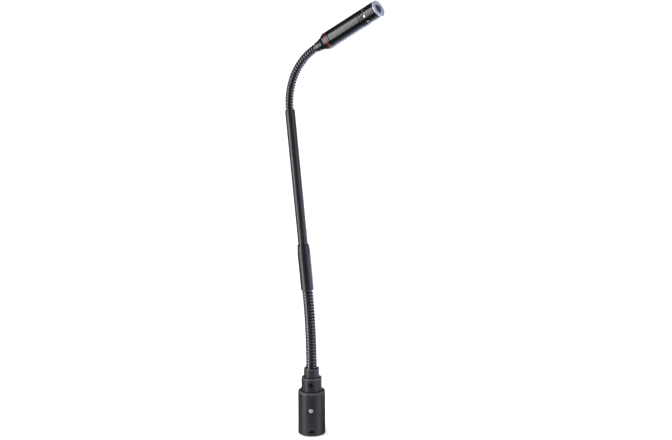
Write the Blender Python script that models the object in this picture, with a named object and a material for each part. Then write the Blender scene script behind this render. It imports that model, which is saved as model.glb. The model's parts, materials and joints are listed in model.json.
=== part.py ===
"""Gooseneck podium microphone: a plug-in connector base, two flexible necks,
a rigid tube between them and a slim cylindrical microphone head.

The origin is the centre of the connector's open rim.  +Z runs up the connector,
and +X is the horizontal direction that the head points in, so the necks curve
in the XZ plane.  Lengths are in metres, made from millimetres with mm().
"""

import math

import bmesh
import bpy
from mathutils import Matrix, Vector


def mm(value):
    """Millimetres to metres."""
    return value * 0.001


# ---- driving dimensions ------------------------------------------------------

GAP = mm(0.3)                     # between pieces that touch or fit together

SHELL_RADIUS = mm(9.5)
SHELL_BORE_RADIUS = mm(7.9)
SHELL_HEIGHT = mm(31.5)
SHELL_ROOF = mm(27.6)             # underside of the roof inside the shell
SHELL_ROOF_HOLE = mm(5.6)
FRONT_AZIMUTH = math.radians(-63.0)   # side of the connector with latch slot and screws

LATCH_SLOT_WIDTH = mm(5.1)
LATCH_SLOT_HEIGHT = mm(2.1)
LATCH_SLOT_Z = mm(3.3)

INSERT_BOTTOM = mm(13.8)
INSERT_TOP = mm(21.5)
PIN_RADIUS = mm(1.2)
PIN_CIRCLE_RADIUS = mm(3.81)
PIN_BOTTOM = mm(1.0)
PIN_TAIL_RADIUS = mm(0.8)
PIN_TOP = mm(25.6)
SCREW_Z = mm(18.7)
SCREW_HEAD_RADIUS = mm(1.45)
SCREW_HOLE_RADIUS = mm(1.95)
SCREW_SHANK_RADIUS = mm(1.0)

BOARD_Z = mm(23.4)
BOARD_THICKNESS = mm(0.8)

NECK_RADIUS = mm(7.1)
NECK_TOP = mm(41.2)
NECK_POCKET_RADIUS = mm(5.0)
NECK_POCKET_FLOOR = mm(33.0)
SET_SCREW_Z = mm(36.9)
SET_SCREW_RADIUS = mm(1.6)

FERRULE_RADIUS = mm(5.375)
FERRULE_TOP = mm(47.7)

LOWER_LENGTH = mm(56.6)
LOWER_HINGES = 9
LOWER_CREST = mm(3.92)
LOWER_VALLEY = mm(3.35)
LOWER_BORE = mm(2.1)
LOWER_END = mm(2.5)
LOWER_RIDGES = 3
TUBE_LEAN = math.radians(-6.16)

SLEEVE_LENGTH = mm(32.1)
SLEEVE_RADIUS = mm(4.5)
SLEEVE_TIP_RADIUS = mm(3.95)
SLEEVE_CONE = mm(6.0)

TUBE_VISIBLE = mm(93.7)
TUBE_RADIUS = mm(3.34)
TUBE_BORE = mm(2.75)
TUBE_INSERTION = mm(14.0)

UPPER_LENGTH = mm(52.3)
UPPER_HINGES = 13
UPPER_CREST = mm(2.88)
UPPER_VALLEY = mm(2.45)
UPPER_BORE = mm(1.3)
UPPER_END = mm(1.75)
UPPER_RIDGES = 2
HEAD_HEADING = math.radians(57.4)     # angle of the head from vertical

HEAD_RADIUS = mm(5.85)
HEAD_LENGTH = mm(55.8)
TAIL_CAP_START = mm(7.2)
MARKER_START = mm(11.0)
MARKER_END = mm(12.8)
BARREL_START = mm(14.9)
BARREL_END = mm(41.7)
ELEMENT_START = mm(44.0)
PORT_STATION = mm(46.0)
PORT_RADIUS = mm(1.15)
PORT_COUNT = 7
PORT_TURN = math.radians(11.9)         # the first port's place round the head
FRONT_RING_START = mm(55.0)
FRONT_HOLE_RADIUS = mm(3.2)
ELEMENT_WALL = mm(0.6)
ELEMENT_WEB = mm(0.5)

CABLE_RADIUS = mm(0.8)

FINE_SIDES = 32
ROUND_SIDES = 24
COIL_SIDES = 12
SMALL_SIDES = 12


# ---- scene and materials -----------------------------------------------------

def clear_scene():
    for obj in list(bpy.data.objects):
        bpy.data.objects.remove(obj, do_unlink=True)


def material(name, colour, roughness, metallic):
    """One Principled material."""
    made = bpy.data.materials.new(name)
    made.use_nodes = True
    shader = made.node_tree.nodes["Principled BSDF"]
    shader.inputs["Base Color"].default_value = (*colour, 1.0)
    shader.inputs["Roughness"].default_value = roughness
    shader.inputs["Metallic"].default_value = metallic
    return made


FINISHES = {
    "black_lacquer": ((0.012, 0.013, 0.016), 0.32, 0.2),
    "satin_charcoal": ((0.045, 0.045, 0.05), 0.42, 0.5),
    "dark_coil": ((0.02, 0.02, 0.022), 0.35, 0.6),
    "bright_steel": ((0.62, 0.65, 0.72), 0.28, 1.0),
    "zinc_screw": ((0.7, 0.7, 0.7), 0.3, 1.0),
    "black_screw": ((0.02, 0.02, 0.02), 0.5, 0.6),
    "gold_contact": ((0.8, 0.62, 0.3), 0.3, 1.0),
    "black_nylon": ((0.02, 0.02, 0.02), 0.6, 0.0),
    "red_ring": ((0.5, 0.03, 0.06), 0.4, 0.0),
    "port_gauze": ((0.62, 0.55, 0.5), 0.4, 0.8),
    "steel_gauze": ((0.3, 0.28, 0.27), 0.5, 0.8),
    "board_green": ((0.02, 0.12, 0.06), 0.5, 0.0),
    "component": ((0.03, 0.03, 0.04), 0.5, 0.0),
    "capsule_metal": ((0.75, 0.75, 0.72), 0.35, 1.0),
    "rubber": ((0.015, 0.015, 0.015), 0.8, 0.0),
    "cable_jacket": ((0.03, 0.03, 0.035), 0.6, 0.0),
}


# ---- frames along the microphone ---------------------------------------------

def frame_at(point, heading):
    """A frame at point whose local +Z is tilted by heading from up towards +X."""
    return Matrix.Translation(point) @ Matrix.Rotation(heading, 4, "Y")


def arc_frame(start, heading, turn, length, distance):
    """The frame reached by following a circular arc from a start frame.

    The arc has the given length and turns the heading by turn in all.
    """
    if abs(turn) < 1e-9:
        return frame_at(start + Vector((math.sin(heading), 0, math.cos(heading))) * distance, heading)
    radius = length / turn
    end = heading + turn * distance / length
    offset = Vector((math.cos(heading) - math.cos(end), 0, math.sin(end) - math.sin(heading)))
    return frame_at(start + offset * radius, end)


def along(frame, distance):
    """The frame moved along its own +Z."""
    return frame @ Matrix.Translation((0, 0, distance))


BASE_FRAME = Matrix.Identity(4)
LOWER_START = Vector((0, 0, FERRULE_TOP))
SLEEVE_FRAME = arc_frame(LOWER_START, 0.0, TUBE_LEAN, LOWER_LENGTH, LOWER_LENGTH)
TUBE_FRAME = along(SLEEVE_FRAME, SLEEVE_LENGTH)
TUBE_TOP_FRAME = along(TUBE_FRAME, TUBE_VISIBLE)
UPPER_START = TUBE_TOP_FRAME.translation.copy()
UPPER_TURN = HEAD_HEADING - TUBE_LEAN
HEAD_FRAME = arc_frame(UPPER_START, TUBE_LEAN, UPPER_TURN, UPPER_LENGTH, UPPER_LENGTH)
FRONT_FRAME = Matrix.Rotation(FRONT_AZIMUTH, 4, "Z")


# ---- modelling tools ---------------------------------------------------------

def finish_object(name, mesh, finish, frame):
    """An object with its mesh, material and smooth shading, placed by its frame."""
    obj = bpy.data.objects.new(name, mesh)
    bpy.context.scene.collection.objects.link(obj)
    obj.matrix_world = frame
    if finish:
        mesh.materials.append(MATERIALS[finish])
    mesh.shade_smooth()
    mesh.set_sharp_from_angle(angle=math.radians(35))
    return obj


def turned_mesh(name, outline, sides):
    """A turned solid from an outline of (radius, height) points.

    An outline whose first and last points lie on the axis makes a solid piece,
    and any other outline is closed on itself and makes a ring.
    """
    form = bmesh.new()
    solid = outline[0][0] == 0 and outline[-1][0] == 0
    rings = []
    for radius, height in outline:
        if radius == 0:
            rings.append([form.verts.new((0, 0, height))])
            continue
        ring = []
        for step in range(sides):
            angle = 2 * math.pi * step / sides
            ring.append(form.verts.new((radius * math.cos(angle), radius * math.sin(angle), height)))
        rings.append(ring)
    pairs = list(zip(rings, rings[1:]))
    if not solid:
        pairs.append((rings[-1], rings[0]))
    for low, high in pairs:
        for step in range(sides):
            after = (step + 1) % sides
            corners = [low[step % len(low)], low[after % len(low)],
                       high[after % len(high)], high[step % len(high)]]
            form.faces.new(list(dict.fromkeys(corners)))
    bmesh.ops.recalc_face_normals(form, faces=form.faces)
    mesh = bpy.data.meshes.new(name)
    form.to_mesh(mesh)
    form.free()
    return mesh


def turned(name, outline, finish, frame=BASE_FRAME, sides=ROUND_SIDES):
    return finish_object(name, turned_mesh(name, outline, sides), finish, frame)


def block(name, size, finish, frame):
    """A box centred on its frame."""
    form = bmesh.new()
    bmesh.ops.create_cube(form, size=1.0, matrix=Matrix.Diagonal((*size, 1.0)))
    mesh = bpy.data.meshes.new(name)
    form.to_mesh(mesh)
    form.free()
    return finish_object(name, mesh, finish, frame)


def hide_cutter(cutter):
    cutter.hide_render = True
    cutter.display_type = "WIRE"
    return cutter


def cut(target, cutter):
    """Takes the cutter's volume out of the target."""
    hide_cutter(cutter)
    modifier = target.modifiers.new(cutter.name, "BOOLEAN")
    modifier.operation = "DIFFERENCE"
    modifier.solver = "EXACT"
    modifier.object = cutter


def rod_outline(radius, low, high):
    return [(0, low), (radius, low), (radius, high), (0, high)]


def round_cutter(name, radius, low, high, frame, sides=SMALL_SIDES):
    return turned(name, rod_outline(radius, low, high), None, frame, sides)


def outward(z):
    """A frame on the connector's axis whose +Z points out of its front side."""
    return FRONT_FRAME @ Matrix.Translation((0, 0, z)) @ Matrix.Rotation(math.pi / 2, 4, "Y")


# ---- connector base ----------------------------------------------------------

def make_connector_shell():
    """The plug's metal barrel: open below, with a roof that the neck screws through."""
    edge = mm(0.4)
    shoulder = mm(1.1)
    outline = [
        (SHELL_BORE_RADIUS + edge, 0),
        (SHELL_RADIUS - edge, 0),
        (SHELL_RADIUS, edge),
        (SHELL_RADIUS, SHELL_HEIGHT - shoulder),
        (SHELL_RADIUS - 0.35 * shoulder, SHELL_HEIGHT - 0.35 * shoulder),
        (SHELL_RADIUS - shoulder, SHELL_HEIGHT),
        (SHELL_ROOF_HOLE, SHELL_HEIGHT),
        (SHELL_ROOF_HOLE, SHELL_ROOF),
        (SHELL_BORE_RADIUS, SHELL_ROOF),
        (SHELL_BORE_RADIUS, edge),
    ]
    shell = turned("connector_shell", outline, "satin_charcoal", sides=FINE_SIDES)
    half_run = (LATCH_SLOT_WIDTH - LATCH_SLOT_HEIGHT) / 2
    slot = slot_cutter("latch_slot_cutter", LATCH_SLOT_HEIGHT / 2, half_run, SHELL_RADIUS * 0.6,
                       SHELL_RADIUS + mm(1), outward(LATCH_SLOT_Z))
    cut(shell, slot)
    cut(shell, round_cutter("shell_screw_cutter", SCREW_HOLE_RADIUS, SHELL_RADIUS * 0.6,
                            SHELL_RADIUS + mm(1), outward(SCREW_Z)))


def slot_cutter(name, radius, half_run, low, high, frame):
    """A bar with half-round ends, long in its frame's Y, running from low to high in Z."""
    form = bmesh.new()
    steps = 8
    loop = []
    for side in (1, -1):
        for step in range(steps + 1):
            angle = math.pi * step / steps
            x = side * radius * math.cos(angle)
            y = side * (half_run + radius * math.sin(angle))
            loop.append(form.verts.new((x, y, low)))
    face = form.faces.new(loop)
    grown = bmesh.ops.extrude_face_region(form, geom=[face])
    lifted = [item for item in grown["geom"] if isinstance(item, bmesh.types.BMVert)]
    bmesh.ops.translate(form, verts=lifted, vec=(0, 0, high - low))
    bmesh.ops.recalc_face_normals(form, faces=form.faces)
    mesh = bpy.data.meshes.new(name)
    form.to_mesh(mesh)
    form.free()
    return finish_object(name, mesh, None, frame)


def pin_centres():
    """The three contacts: two beside the latch side and one across from it."""
    turns = (math.radians(45), math.radians(-45), math.radians(180))
    for turn in turns:
        angle = FRONT_AZIMUTH + turn
        yield Vector((math.cos(angle), math.sin(angle), 0)) * PIN_CIRCLE_RADIUS


def make_contact_insert():
    """The plastic disc that holds the three contacts."""
    edge = mm(0.3)
    radius = SHELL_BORE_RADIUS - GAP
    outline = [(0, INSERT_BOTTOM), (radius - edge, INSERT_BOTTOM), (radius, INSERT_BOTTOM + edge),
               (radius, INSERT_TOP), (0, INSERT_TOP)]
    insert = turned("contact_insert", outline, "black_nylon")
    for number, centre in enumerate(pin_centres(), start=1):
        cut(insert, round_cutter(f"insert_pin_cutter_{number}", PIN_RADIUS + GAP / 2, INSERT_BOTTOM - mm(1),
                                 INSERT_TOP + mm(1), Matrix.Translation(centre)))
    cut(insert, round_cutter("insert_screw_cutter", SCREW_SHANK_RADIUS + GAP, mm(4.3), SHELL_RADIUS,
                             outward(SCREW_Z), sides=12))


def make_contact_pins():
    """Round contacts with domed tips below and thin tails through the board above."""
    tip = mm(0.7)
    for number, centre in enumerate(pin_centres(), start=1):
        outline = [
            (0, PIN_BOTTOM),
            (PIN_RADIUS * 0.55, PIN_BOTTOM + tip * 0.15),
            (PIN_RADIUS * 0.9, PIN_BOTTOM + tip * 0.55),
            (PIN_RADIUS, PIN_BOTTOM + tip),
            (PIN_RADIUS, BOARD_Z - GAP),
            (PIN_TAIL_RADIUS, BOARD_Z - GAP),
            (PIN_TAIL_RADIUS, PIN_TOP),
            (0, PIN_TOP),
        ]
        turned(f"contact_pin_{number}", outline, "gold_contact", Matrix.Translation(centre), SMALL_SIDES)


def make_insert_screw():
    """The cross-head screw that holds the insert through the shell's wall."""
    face = SHELL_RADIUS - mm(0.45)
    seat = SHELL_RADIUS - mm(1.4)
    outline = [(0, mm(4.6)), (SCREW_SHANK_RADIUS, mm(4.6)), (SCREW_SHANK_RADIUS, seat),
               (SCREW_HEAD_RADIUS, seat), (SCREW_HEAD_RADIUS, face - mm(0.25)),
               (SCREW_HEAD_RADIUS - mm(0.25), face), (0, face)]
    screw = turned("insert_screw", outline, "zinc_screw", outward(SCREW_Z), 20)
    slot_depth = mm(0.9)
    for number, size in enumerate(((mm(2.0), mm(0.42), slot_depth), (mm(0.42), mm(2.0), slot_depth))):
        cut(screw, block(f"screw_slot_cutter_{number}", size, None, along(outward(SCREW_Z), face)))


def make_ground_tab():
    """A bent strip that earths the shell to the board."""
    thickness = mm(0.35)
    width = mm(2.2)
    form = bmesh.new()
    inner = mm(6.0)
    outer = SHELL_BORE_RADIUS - GAP
    low = INSERT_TOP + GAP
    high = BOARD_Z + BOARD_THICKNESS + mm(2.2)
    loop = [(inner, low), (outer, low), (outer, high), (outer - thickness, high),
            (outer - thickness, low + thickness), (inner, low + thickness)]
    face = form.faces.new([form.verts.new((x, -width / 2, z)) for x, z in loop])
    grown = bmesh.ops.extrude_face_region(form, geom=[face])
    lifted = [item for item in grown["geom"] if isinstance(item, bmesh.types.BMVert)]
    bmesh.ops.translate(form, verts=lifted, vec=(0, width, 0))
    bmesh.ops.recalc_face_normals(form, faces=form.faces)
    mesh = bpy.data.meshes.new("ground_tab")
    form.to_mesh(mesh)
    form.free()
    finish_object("ground_tab", mesh, "zinc_screw", FRONT_FRAME)


def make_base_board():
    """The round output board, on the contacts' tails, with its capacitor."""
    radius = mm(6.9)
    outline = [(CABLE_RADIUS + GAP, BOARD_Z), (radius, BOARD_Z), (radius, BOARD_Z + BOARD_THICKNESS),
               (CABLE_RADIUS + GAP, BOARD_Z + BOARD_THICKNESS)]
    board = turned("base_board", outline, "board_green", sides=24)
    for number, centre in enumerate(pin_centres(), start=1):
        cut(board, round_cutter(f"board_pin_cutter_{number}", PIN_TAIL_RADIUS + GAP / 2, BOARD_Z - mm(1),
                                BOARD_Z + mm(2), Matrix.Translation(centre), 12))
    low = BOARD_Z + BOARD_THICKNESS + GAP
    height = mm(2.4)
    place = FRONT_FRAME @ Matrix.Translation((mm(-0.6), mm(4.6), 0))
    turned("base_capacitor", rod_outline(mm(1.5), low, low + height), "component", place, 16)


def make_neck_collar():
    """The stepped neck on the shell's roof, bored for the ferrule's stem."""
    shoulder = mm(0.9)
    bore = mm(2.6)
    spigot = SHELL_ROOF_HOLE - GAP
    outline = [
        (bore, SHELL_ROOF + mm(0.4)),
        (spigot, SHELL_ROOF + mm(0.4)),
        (spigot, SHELL_HEIGHT + GAP),
        (NECK_RADIUS, SHELL_HEIGHT + GAP),
        (NECK_RADIUS, NECK_TOP - shoulder),
        (NECK_RADIUS - 0.35 * shoulder, NECK_TOP - 0.35 * shoulder),
        (NECK_RADIUS - shoulder, NECK_TOP),
        (NECK_POCKET_RADIUS, NECK_TOP),
        (NECK_POCKET_RADIUS, NECK_POCKET_FLOOR),
        (bore, NECK_POCKET_FLOOR),
    ]
    neck = turned("neck_collar", outline, "satin_charcoal")
    cut(neck, round_cutter("set_screw_cutter", SET_SCREW_RADIUS + GAP, NECK_POCKET_RADIUS * 0.7,
                           NECK_RADIUS + mm(1), outward(SET_SCREW_Z), 20))


def make_set_screw():
    """The headless socket screw in the neck's side."""
    low = NECK_POCKET_RADIUS
    high = NECK_RADIUS - mm(0.7)
    socket = mm(0.8)
    outline = [(0, low), (SET_SCREW_RADIUS, low), (SET_SCREW_RADIUS, high - mm(0.2)),
               (SET_SCREW_RADIUS - mm(0.2), high), (0, high)]
    screw = turned("neck_set_screw", outline, "black_screw", outward(SET_SCREW_Z), 18)
    cut(screw, round_cutter("hex_socket_cutter", socket, high - mm(0.9), high + mm(1), outward(SET_SCREW_Z), 6))


def make_lower_ferrule():
    """The ferrule that grips the lower gooseneck, on a stem inside the neck."""
    shoulder = mm(0.8)
    stem = NECK_POCKET_RADIUS - GAP
    pocket = LOWER_CREST + GAP
    outline = [
        (mm(2.0), NECK_POCKET_FLOOR + GAP),
        (stem, NECK_POCKET_FLOOR + GAP),
        (stem, NECK_TOP + GAP),
        (FERRULE_RADIUS, NECK_TOP + GAP),
        (FERRULE_RADIUS, FERRULE_TOP - shoulder),
        (FERRULE_RADIUS - 0.35 * shoulder, FERRULE_TOP - 0.35 * shoulder),
        (FERRULE_RADIUS - shoulder, FERRULE_TOP),
        (pocket, FERRULE_TOP),
        (pocket, FERRULE_TOP - mm(4.7)),
        (mm(2.0), FERRULE_TOP - mm(4.7)),
    ]
    turned("lower_ferrule", outline, "satin_charcoal")


# ---- goosenecks --------------------------------------------------------------

def ridge_outline(low, high, crest, valley, end, bore, ridges, tapered):
    """A short stretch of coil: ridges outside, a bore inside, and slim ends where it hinges.

    tapered says, for the lower and the upper end, whether it narrows to the end radius.
    """
    taper = mm(0.35)
    body_low = low + taper if tapered[0] else low
    body_high = high - taper if tapered[1] else high
    pitch = (body_high - body_low) / ridges
    outer = []
    if tapered[0]:
        outer.append((end, low))
    for ridge in range(ridges):
        foot = body_low + ridge * pitch
        outer.append((valley, foot))
        outer.append((crest, foot + 0.5 * pitch))
    outer.append((valley, body_high))
    if tapered[1]:
        outer.append((end, high))
    return [(bore, low)] + outer + [(bore, high)]


def make_coil(prefix, start, heading, turn, length, hinges, gap, section, inner_ends):
    """One gooseneck as a chain of short coil pieces, each ending half-way to its neighbours.

    inner_ends says how far the first and last pieces run on inside the parts that grip them.
    """
    pitch = length / hinges
    for number in range(hinges + 1):
        centre = number * pitch
        low = -pitch / 2 + gap / 2
        high = pitch / 2 - gap / 2
        ridges = section["ridges"]
        tapered = (True, True)
        if number == 0:
            low = -inner_ends[0]
            tapered = (False, True)
        if number == hinges:
            high = inner_ends[1]
            tapered = (True, False)
        frame = arc_frame(start, heading, turn, length, centre)
        outline = ridge_outline(low, high, section["crest"], section["valley"], section["end"],
                                section["bore"], ridges, tapered)
        turned(f"{prefix}_{number}", outline, "dark_coil", frame, COIL_SIDES)


def make_goosenecks():
    lower = {"crest": LOWER_CREST, "valley": LOWER_VALLEY, "end": LOWER_END, "bore": LOWER_BORE,
             "ridges": LOWER_RIDGES}
    upper = {"crest": UPPER_CREST, "valley": UPPER_VALLEY, "end": UPPER_END, "bore": UPPER_BORE,
             "ridges": UPPER_RIDGES}
    make_coil("lower_coil", LOWER_START, 0.0, TUBE_LEAN, LOWER_LENGTH, LOWER_HINGES, mm(0.7), lower,
              (mm(4.4), mm(5.0)))
    make_coil("upper_coil", UPPER_START, TUBE_LEAN, UPPER_TURN, UPPER_LENGTH, UPPER_HINGES, mm(0.6), upper,
              (-GAP, mm(2.5)))


# ---- sleeve and rigid tube ---------------------------------------------------

def make_middle_sleeve():
    """The coupling between the lower gooseneck and the tube, with a cone at its top."""
    edge = mm(0.7)
    pocket = LOWER_CREST + GAP / 2
    outline = [
        (pocket, 0),
        (SLEEVE_RADIUS - edge * 0.5, 0),
        (SLEEVE_RADIUS, edge),
        (SLEEVE_RADIUS, SLEEVE_LENGTH - SLEEVE_CONE),
        (SLEEVE_TIP_RADIUS, SLEEVE_LENGTH - mm(0.3)),
        (SLEEVE_TIP_RADIUS - mm(0.2), SLEEVE_LENGTH),
        (TUBE_RADIUS + GAP / 2, SLEEVE_LENGTH),
        (TUBE_RADIUS + GAP / 2, SLEEVE_LENGTH - TUBE_INSERTION - GAP),
        (mm(2.0), SLEEVE_LENGTH - TUBE_INSERTION - GAP),
        (mm(2.0), mm(5.4)),
        (pocket, mm(5.4)),
    ]
    turned("middle_sleeve", outline, "black_lacquer", SLEEVE_FRAME)


def make_rigid_tube():
    """The straight tube, open right through for the cable."""
    edge = mm(0.25)
    low = -TUBE_INSERTION
    outline = [(TUBE_BORE, low), (TUBE_RADIUS, low), (TUBE_RADIUS, TUBE_VISIBLE - edge),
               (TUBE_RADIUS - edge, TUBE_VISIBLE), (TUBE_BORE, TUBE_VISIBLE)]
    turned("rigid_tube", outline, "black_lacquer", TUBE_FRAME)


def make_tube_plug():
    """The plug in the tube's mouth that the upper gooseneck is wound onto."""
    depth = mm(8.0)
    outline = [(UPPER_BORE, -depth), (TUBE_BORE - GAP, -depth), (TUBE_BORE - GAP, 0), (UPPER_BORE, 0)]
    turned("tube_plug", outline, "zinc_screw", TUBE_TOP_FRAME, 24)


# ---- microphone head ---------------------------------------------------------

def make_gooseneck_collar():
    """The small collar that grips the upper gooseneck's end."""
    pocket = UPPER_CREST + GAP / 2
    outline = [(pocket, mm(0.4)), (mm(3.2), mm(0.4)), (mm(3.65), mm(4.2)), (UPPER_BORE, mm(4.2)),
               (UPPER_BORE, mm(2.8)), (pocket, mm(2.8))]
    turned("gooseneck_collar", outline, "black_lacquer", HEAD_FRAME, 24)


def make_tail_nut():
    outline = [(UPPER_BORE, mm(4.5)), (mm(3.95), mm(4.5)), (mm(4.4), mm(6.9)), (UPPER_BORE, mm(6.9))]
    turned("tail_nut", outline, "black_lacquer", HEAD_FRAME, 24)


def make_tail_cap():
    """The head's coned rear end, with a groove for the marker ring and a spigot in the barrel."""
    cone_end = mm(9.5)
    groove = HEAD_RADIUS - mm(0.8)
    spigot = HEAD_RADIUS - mm(1.0)
    outline = [
        (UPPER_BORE, TAIL_CAP_START),
        (mm(4.8), TAIL_CAP_START),
        (HEAD_RADIUS, cone_end),
        (HEAD_RADIUS, MARKER_START - mm(0.1)),
        (groove, MARKER_START - mm(0.1)),
        (groove, MARKER_END + mm(0.1)),
        (HEAD_RADIUS, MARKER_END + mm(0.1)),
        (HEAD_RADIUS, BARREL_START - GAP),
        (spigot - GAP, BARREL_START - GAP),
        (spigot - GAP, BARREL_START + mm(3.0)),
        (mm(3.6), BARREL_START + mm(3.0)),
        (mm(3.6), mm(9.0)),
        (UPPER_BORE, mm(9.0)),
    ]
    turned("tail_cap", outline, "black_lacquer", HEAD_FRAME)


def make_marker_ring():
    """The red ring in the tail cap's groove."""
    inner = HEAD_RADIUS - mm(0.5)
    outer = HEAD_RADIUS + mm(0.03)
    low = MARKER_START + mm(0.1)
    high = MARKER_END - mm(0.1)
    turned("marker_ring", [(inner, low), (outer, low), (outer, high), (inner, high)], "red_ring", HEAD_FRAME)


def make_head_barrel():
    """The head's main tube, with a web across its front end."""
    bore = HEAD_RADIUS - mm(1.0)
    web = mm(1.2)
    hole = mm(2.1)
    outline = [
        (bore, BARREL_START),
        (HEAD_RADIUS, BARREL_START),
        (HEAD_RADIUS, BARREL_END - mm(0.1)),
        (HEAD_RADIUS - mm(0.1), BARREL_END),
        (hole, BARREL_END),
        (hole, BARREL_END - web),
        (bore, BARREL_END - web),
    ]
    turned("head_barrel", outline, "black_lacquer", HEAD_FRAME)


def make_coupling_ring():
    """The narrow ring between the barrel and the screw-on element."""
    low = BARREL_END + GAP
    high = ELEMENT_START - GAP
    hole = mm(2.1)
    turned("coupling_ring", [(hole, low), (HEAD_RADIUS, low), (HEAD_RADIUS, high), (hole, high)],
           "black_lacquer", HEAD_FRAME)


def make_element_housing():
    """The front tube, with sound ports through its wall."""
    bore = HEAD_RADIUS - ELEMENT_WALL
    web = ELEMENT_WEB
    hole = mm(2.1)
    outline = [
        (hole, ELEMENT_START),
        (HEAD_RADIUS, ELEMENT_START),
        (HEAD_RADIUS, FRONT_RING_START - GAP),
        (bore, FRONT_RING_START - GAP),
        (bore, ELEMENT_START + web),
        (hole, ELEMENT_START + web),
    ]
    housing = turned("element_housing", outline, "black_lacquer", HEAD_FRAME)
    for number in range(PORT_COUNT):
        turn = PORT_TURN + 2 * math.pi * number / PORT_COUNT
        place = along(HEAD_FRAME, PORT_STATION) @ Matrix.Rotation(turn, 4, "Z") @ Matrix.Rotation(
            math.pi / 2, 4, "Y")
        cut(housing, round_cutter(f"port_cutter_{number}", PORT_RADIUS, bore - mm(0.6), HEAD_RADIUS + mm(1),
                                  place, 12))


def make_port_gauze():
    """The metal gauze band behind the ports."""
    outer = HEAD_RADIUS - ELEMENT_WALL - GAP
    inner = outer - mm(0.25)
    low = ELEMENT_START + ELEMENT_WEB + GAP
    high = PORT_STATION + mm(1.6)
    turned("port_gauze", [(inner, low), (outer, low), (outer, high), (inner, high)], "port_gauze",
           HEAD_FRAME)


def make_front_ring():
    """The bright ring that closes the head's front around the grille."""
    wall = HEAD_RADIUS - ELEMENT_WALL - GAP
    seat = HEAD_LENGTH - mm(1.2)
    outline = [
        (FRONT_HOLE_RADIUS + mm(0.5), FRONT_RING_START - mm(1.6)),
        (wall, FRONT_RING_START - mm(1.6)),
        (wall, FRONT_RING_START),
        (HEAD_RADIUS, FRONT_RING_START),
        (HEAD_RADIUS, HEAD_LENGTH - mm(0.6)),
        (HEAD_RADIUS - mm(0.2), HEAD_LENGTH - mm(0.2)),
        (HEAD_RADIUS - mm(0.6), HEAD_LENGTH),
        (FRONT_HOLE_RADIUS, HEAD_LENGTH),
        (FRONT_HOLE_RADIUS, seat),
        (FRONT_HOLE_RADIUS + mm(0.5), seat),
    ]
    turned("front_ring", outline, "bright_steel", HEAD_FRAME)


def make_front_grille():
    """The perforated disc behind the front ring's hole."""
    radius = FRONT_HOLE_RADIUS + mm(0.5) - GAP / 2
    high = HEAD_LENGTH - mm(1.2) - GAP / 2
    low = high - mm(0.4)
    grille = turned("front_grille", rod_outline(radius, low, high), "steel_gauze", HEAD_FRAME, 24)
    pitch = mm(1.55)
    hole = mm(0.5)
    rows = 2
    number = 0
    pattern = HEAD_FRAME @ Matrix.Rotation(math.radians(7), 4, "Z")
    for row in range(-rows, rows + 1):
        for column in range(-rows, rows + 1):
            x = (column + 0.5 * row) * pitch
            y = row * pitch * math.sqrt(3) / 2
            if math.hypot(x, y) > FRONT_HOLE_RADIUS - hole:
                continue
            number += 1
            cut(grille, round_cutter(f"grille_cutter_{number}", hole, low - mm(0.5), high + mm(0.5),
                                     pattern @ Matrix.Translation((x, y, 0)), 8))


def make_capsule():
    """The electret capsule behind the grille, on its rubber seat."""
    radius = mm(3.4)
    high = HEAD_LENGTH - mm(1.2) - mm(0.9)
    low = high - mm(3.4)
    outline = [(0, low), (radius, low), (radius, high - mm(0.2)), (radius - mm(0.2), high),
               (mm(1.0), high), (mm(1.0), high - mm(0.3)), (0, high - mm(0.3))]
    turned("capsule", outline, "capsule_metal", HEAD_FRAME, 24)
    seat_high = low - GAP
    seat_low = seat_high - mm(1.2)
    hole = mm(1.6)
    outer = HEAD_RADIUS - ELEMENT_WALL - GAP
    turned("capsule_seat", [(hole, seat_low), (outer, seat_low), (outer, seat_high), (hole, seat_high)],
           "rubber", HEAD_FRAME, 24)


def make_contact_block():
    """The insulated contact that joins the element to the barrel's board."""
    outline = [(mm(0.9), BARREL_END - mm(3.0)), (mm(1.8), BARREL_END - mm(3.0)),
               (mm(1.8), ELEMENT_START + mm(2.0)), (mm(0.9), ELEMENT_START + mm(2.0))]
    turned("contact_bush", outline, "black_nylon", HEAD_FRAME, 18)
    turned("contact_plunger", rod_outline(mm(0.6), BARREL_END - mm(4.2), ELEMENT_START + mm(6.0)),
           "gold_contact", HEAD_FRAME, 12)


def make_head_board():
    """The amplifier board along the barrel, with its transistor."""
    low = BARREL_START + mm(4.0)
    high = BARREL_END - mm(5.0)
    thickness = mm(0.8)
    middle = along(HEAD_FRAME, (low + high) / 2)
    block("head_board", (mm(7.4), thickness, high - low), "board_green", middle)
    lift = thickness / 2 + GAP + mm(0.9)
    block("head_transistor", (mm(3.0), mm(1.8), mm(3.6)), "component",
          middle @ Matrix.Translation((0, lift, mm(3.0))))


# ---- cable held inside -------------------------------------------------------

def cable(name, frame_of, distances, radius=CABLE_RADIUS):
    """A round cable through the frames that frame_of gives at each distance."""
    sides = 8
    form = bmesh.new()
    rings = []
    for distance in distances:
        frame = frame_of(distance)
        ring = []
        for step in range(sides):
            angle = 2 * math.pi * step / sides
            local = Vector((radius * math.cos(angle), radius * math.sin(angle), 0))
            ring.append(form.verts.new(frame @ local))
        rings.append(ring)
    for low, high in zip(rings, rings[1:]):
        for step in range(sides):
            after = (step + 1) % sides
            form.faces.new((low[step], low[after], high[after], high[step]))
    form.faces.new(rings[0])
    form.faces.new(rings[-1])
    bmesh.ops.recalc_face_normals(form, faces=form.faces)
    mesh = bpy.data.meshes.new(name)
    form.to_mesh(mesh)
    form.free()
    finish_object(name, mesh, "cable_jacket", BASE_FRAME)


def even_steps(length, count):
    return [length * step / count for step in range(count + 1)]


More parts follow.
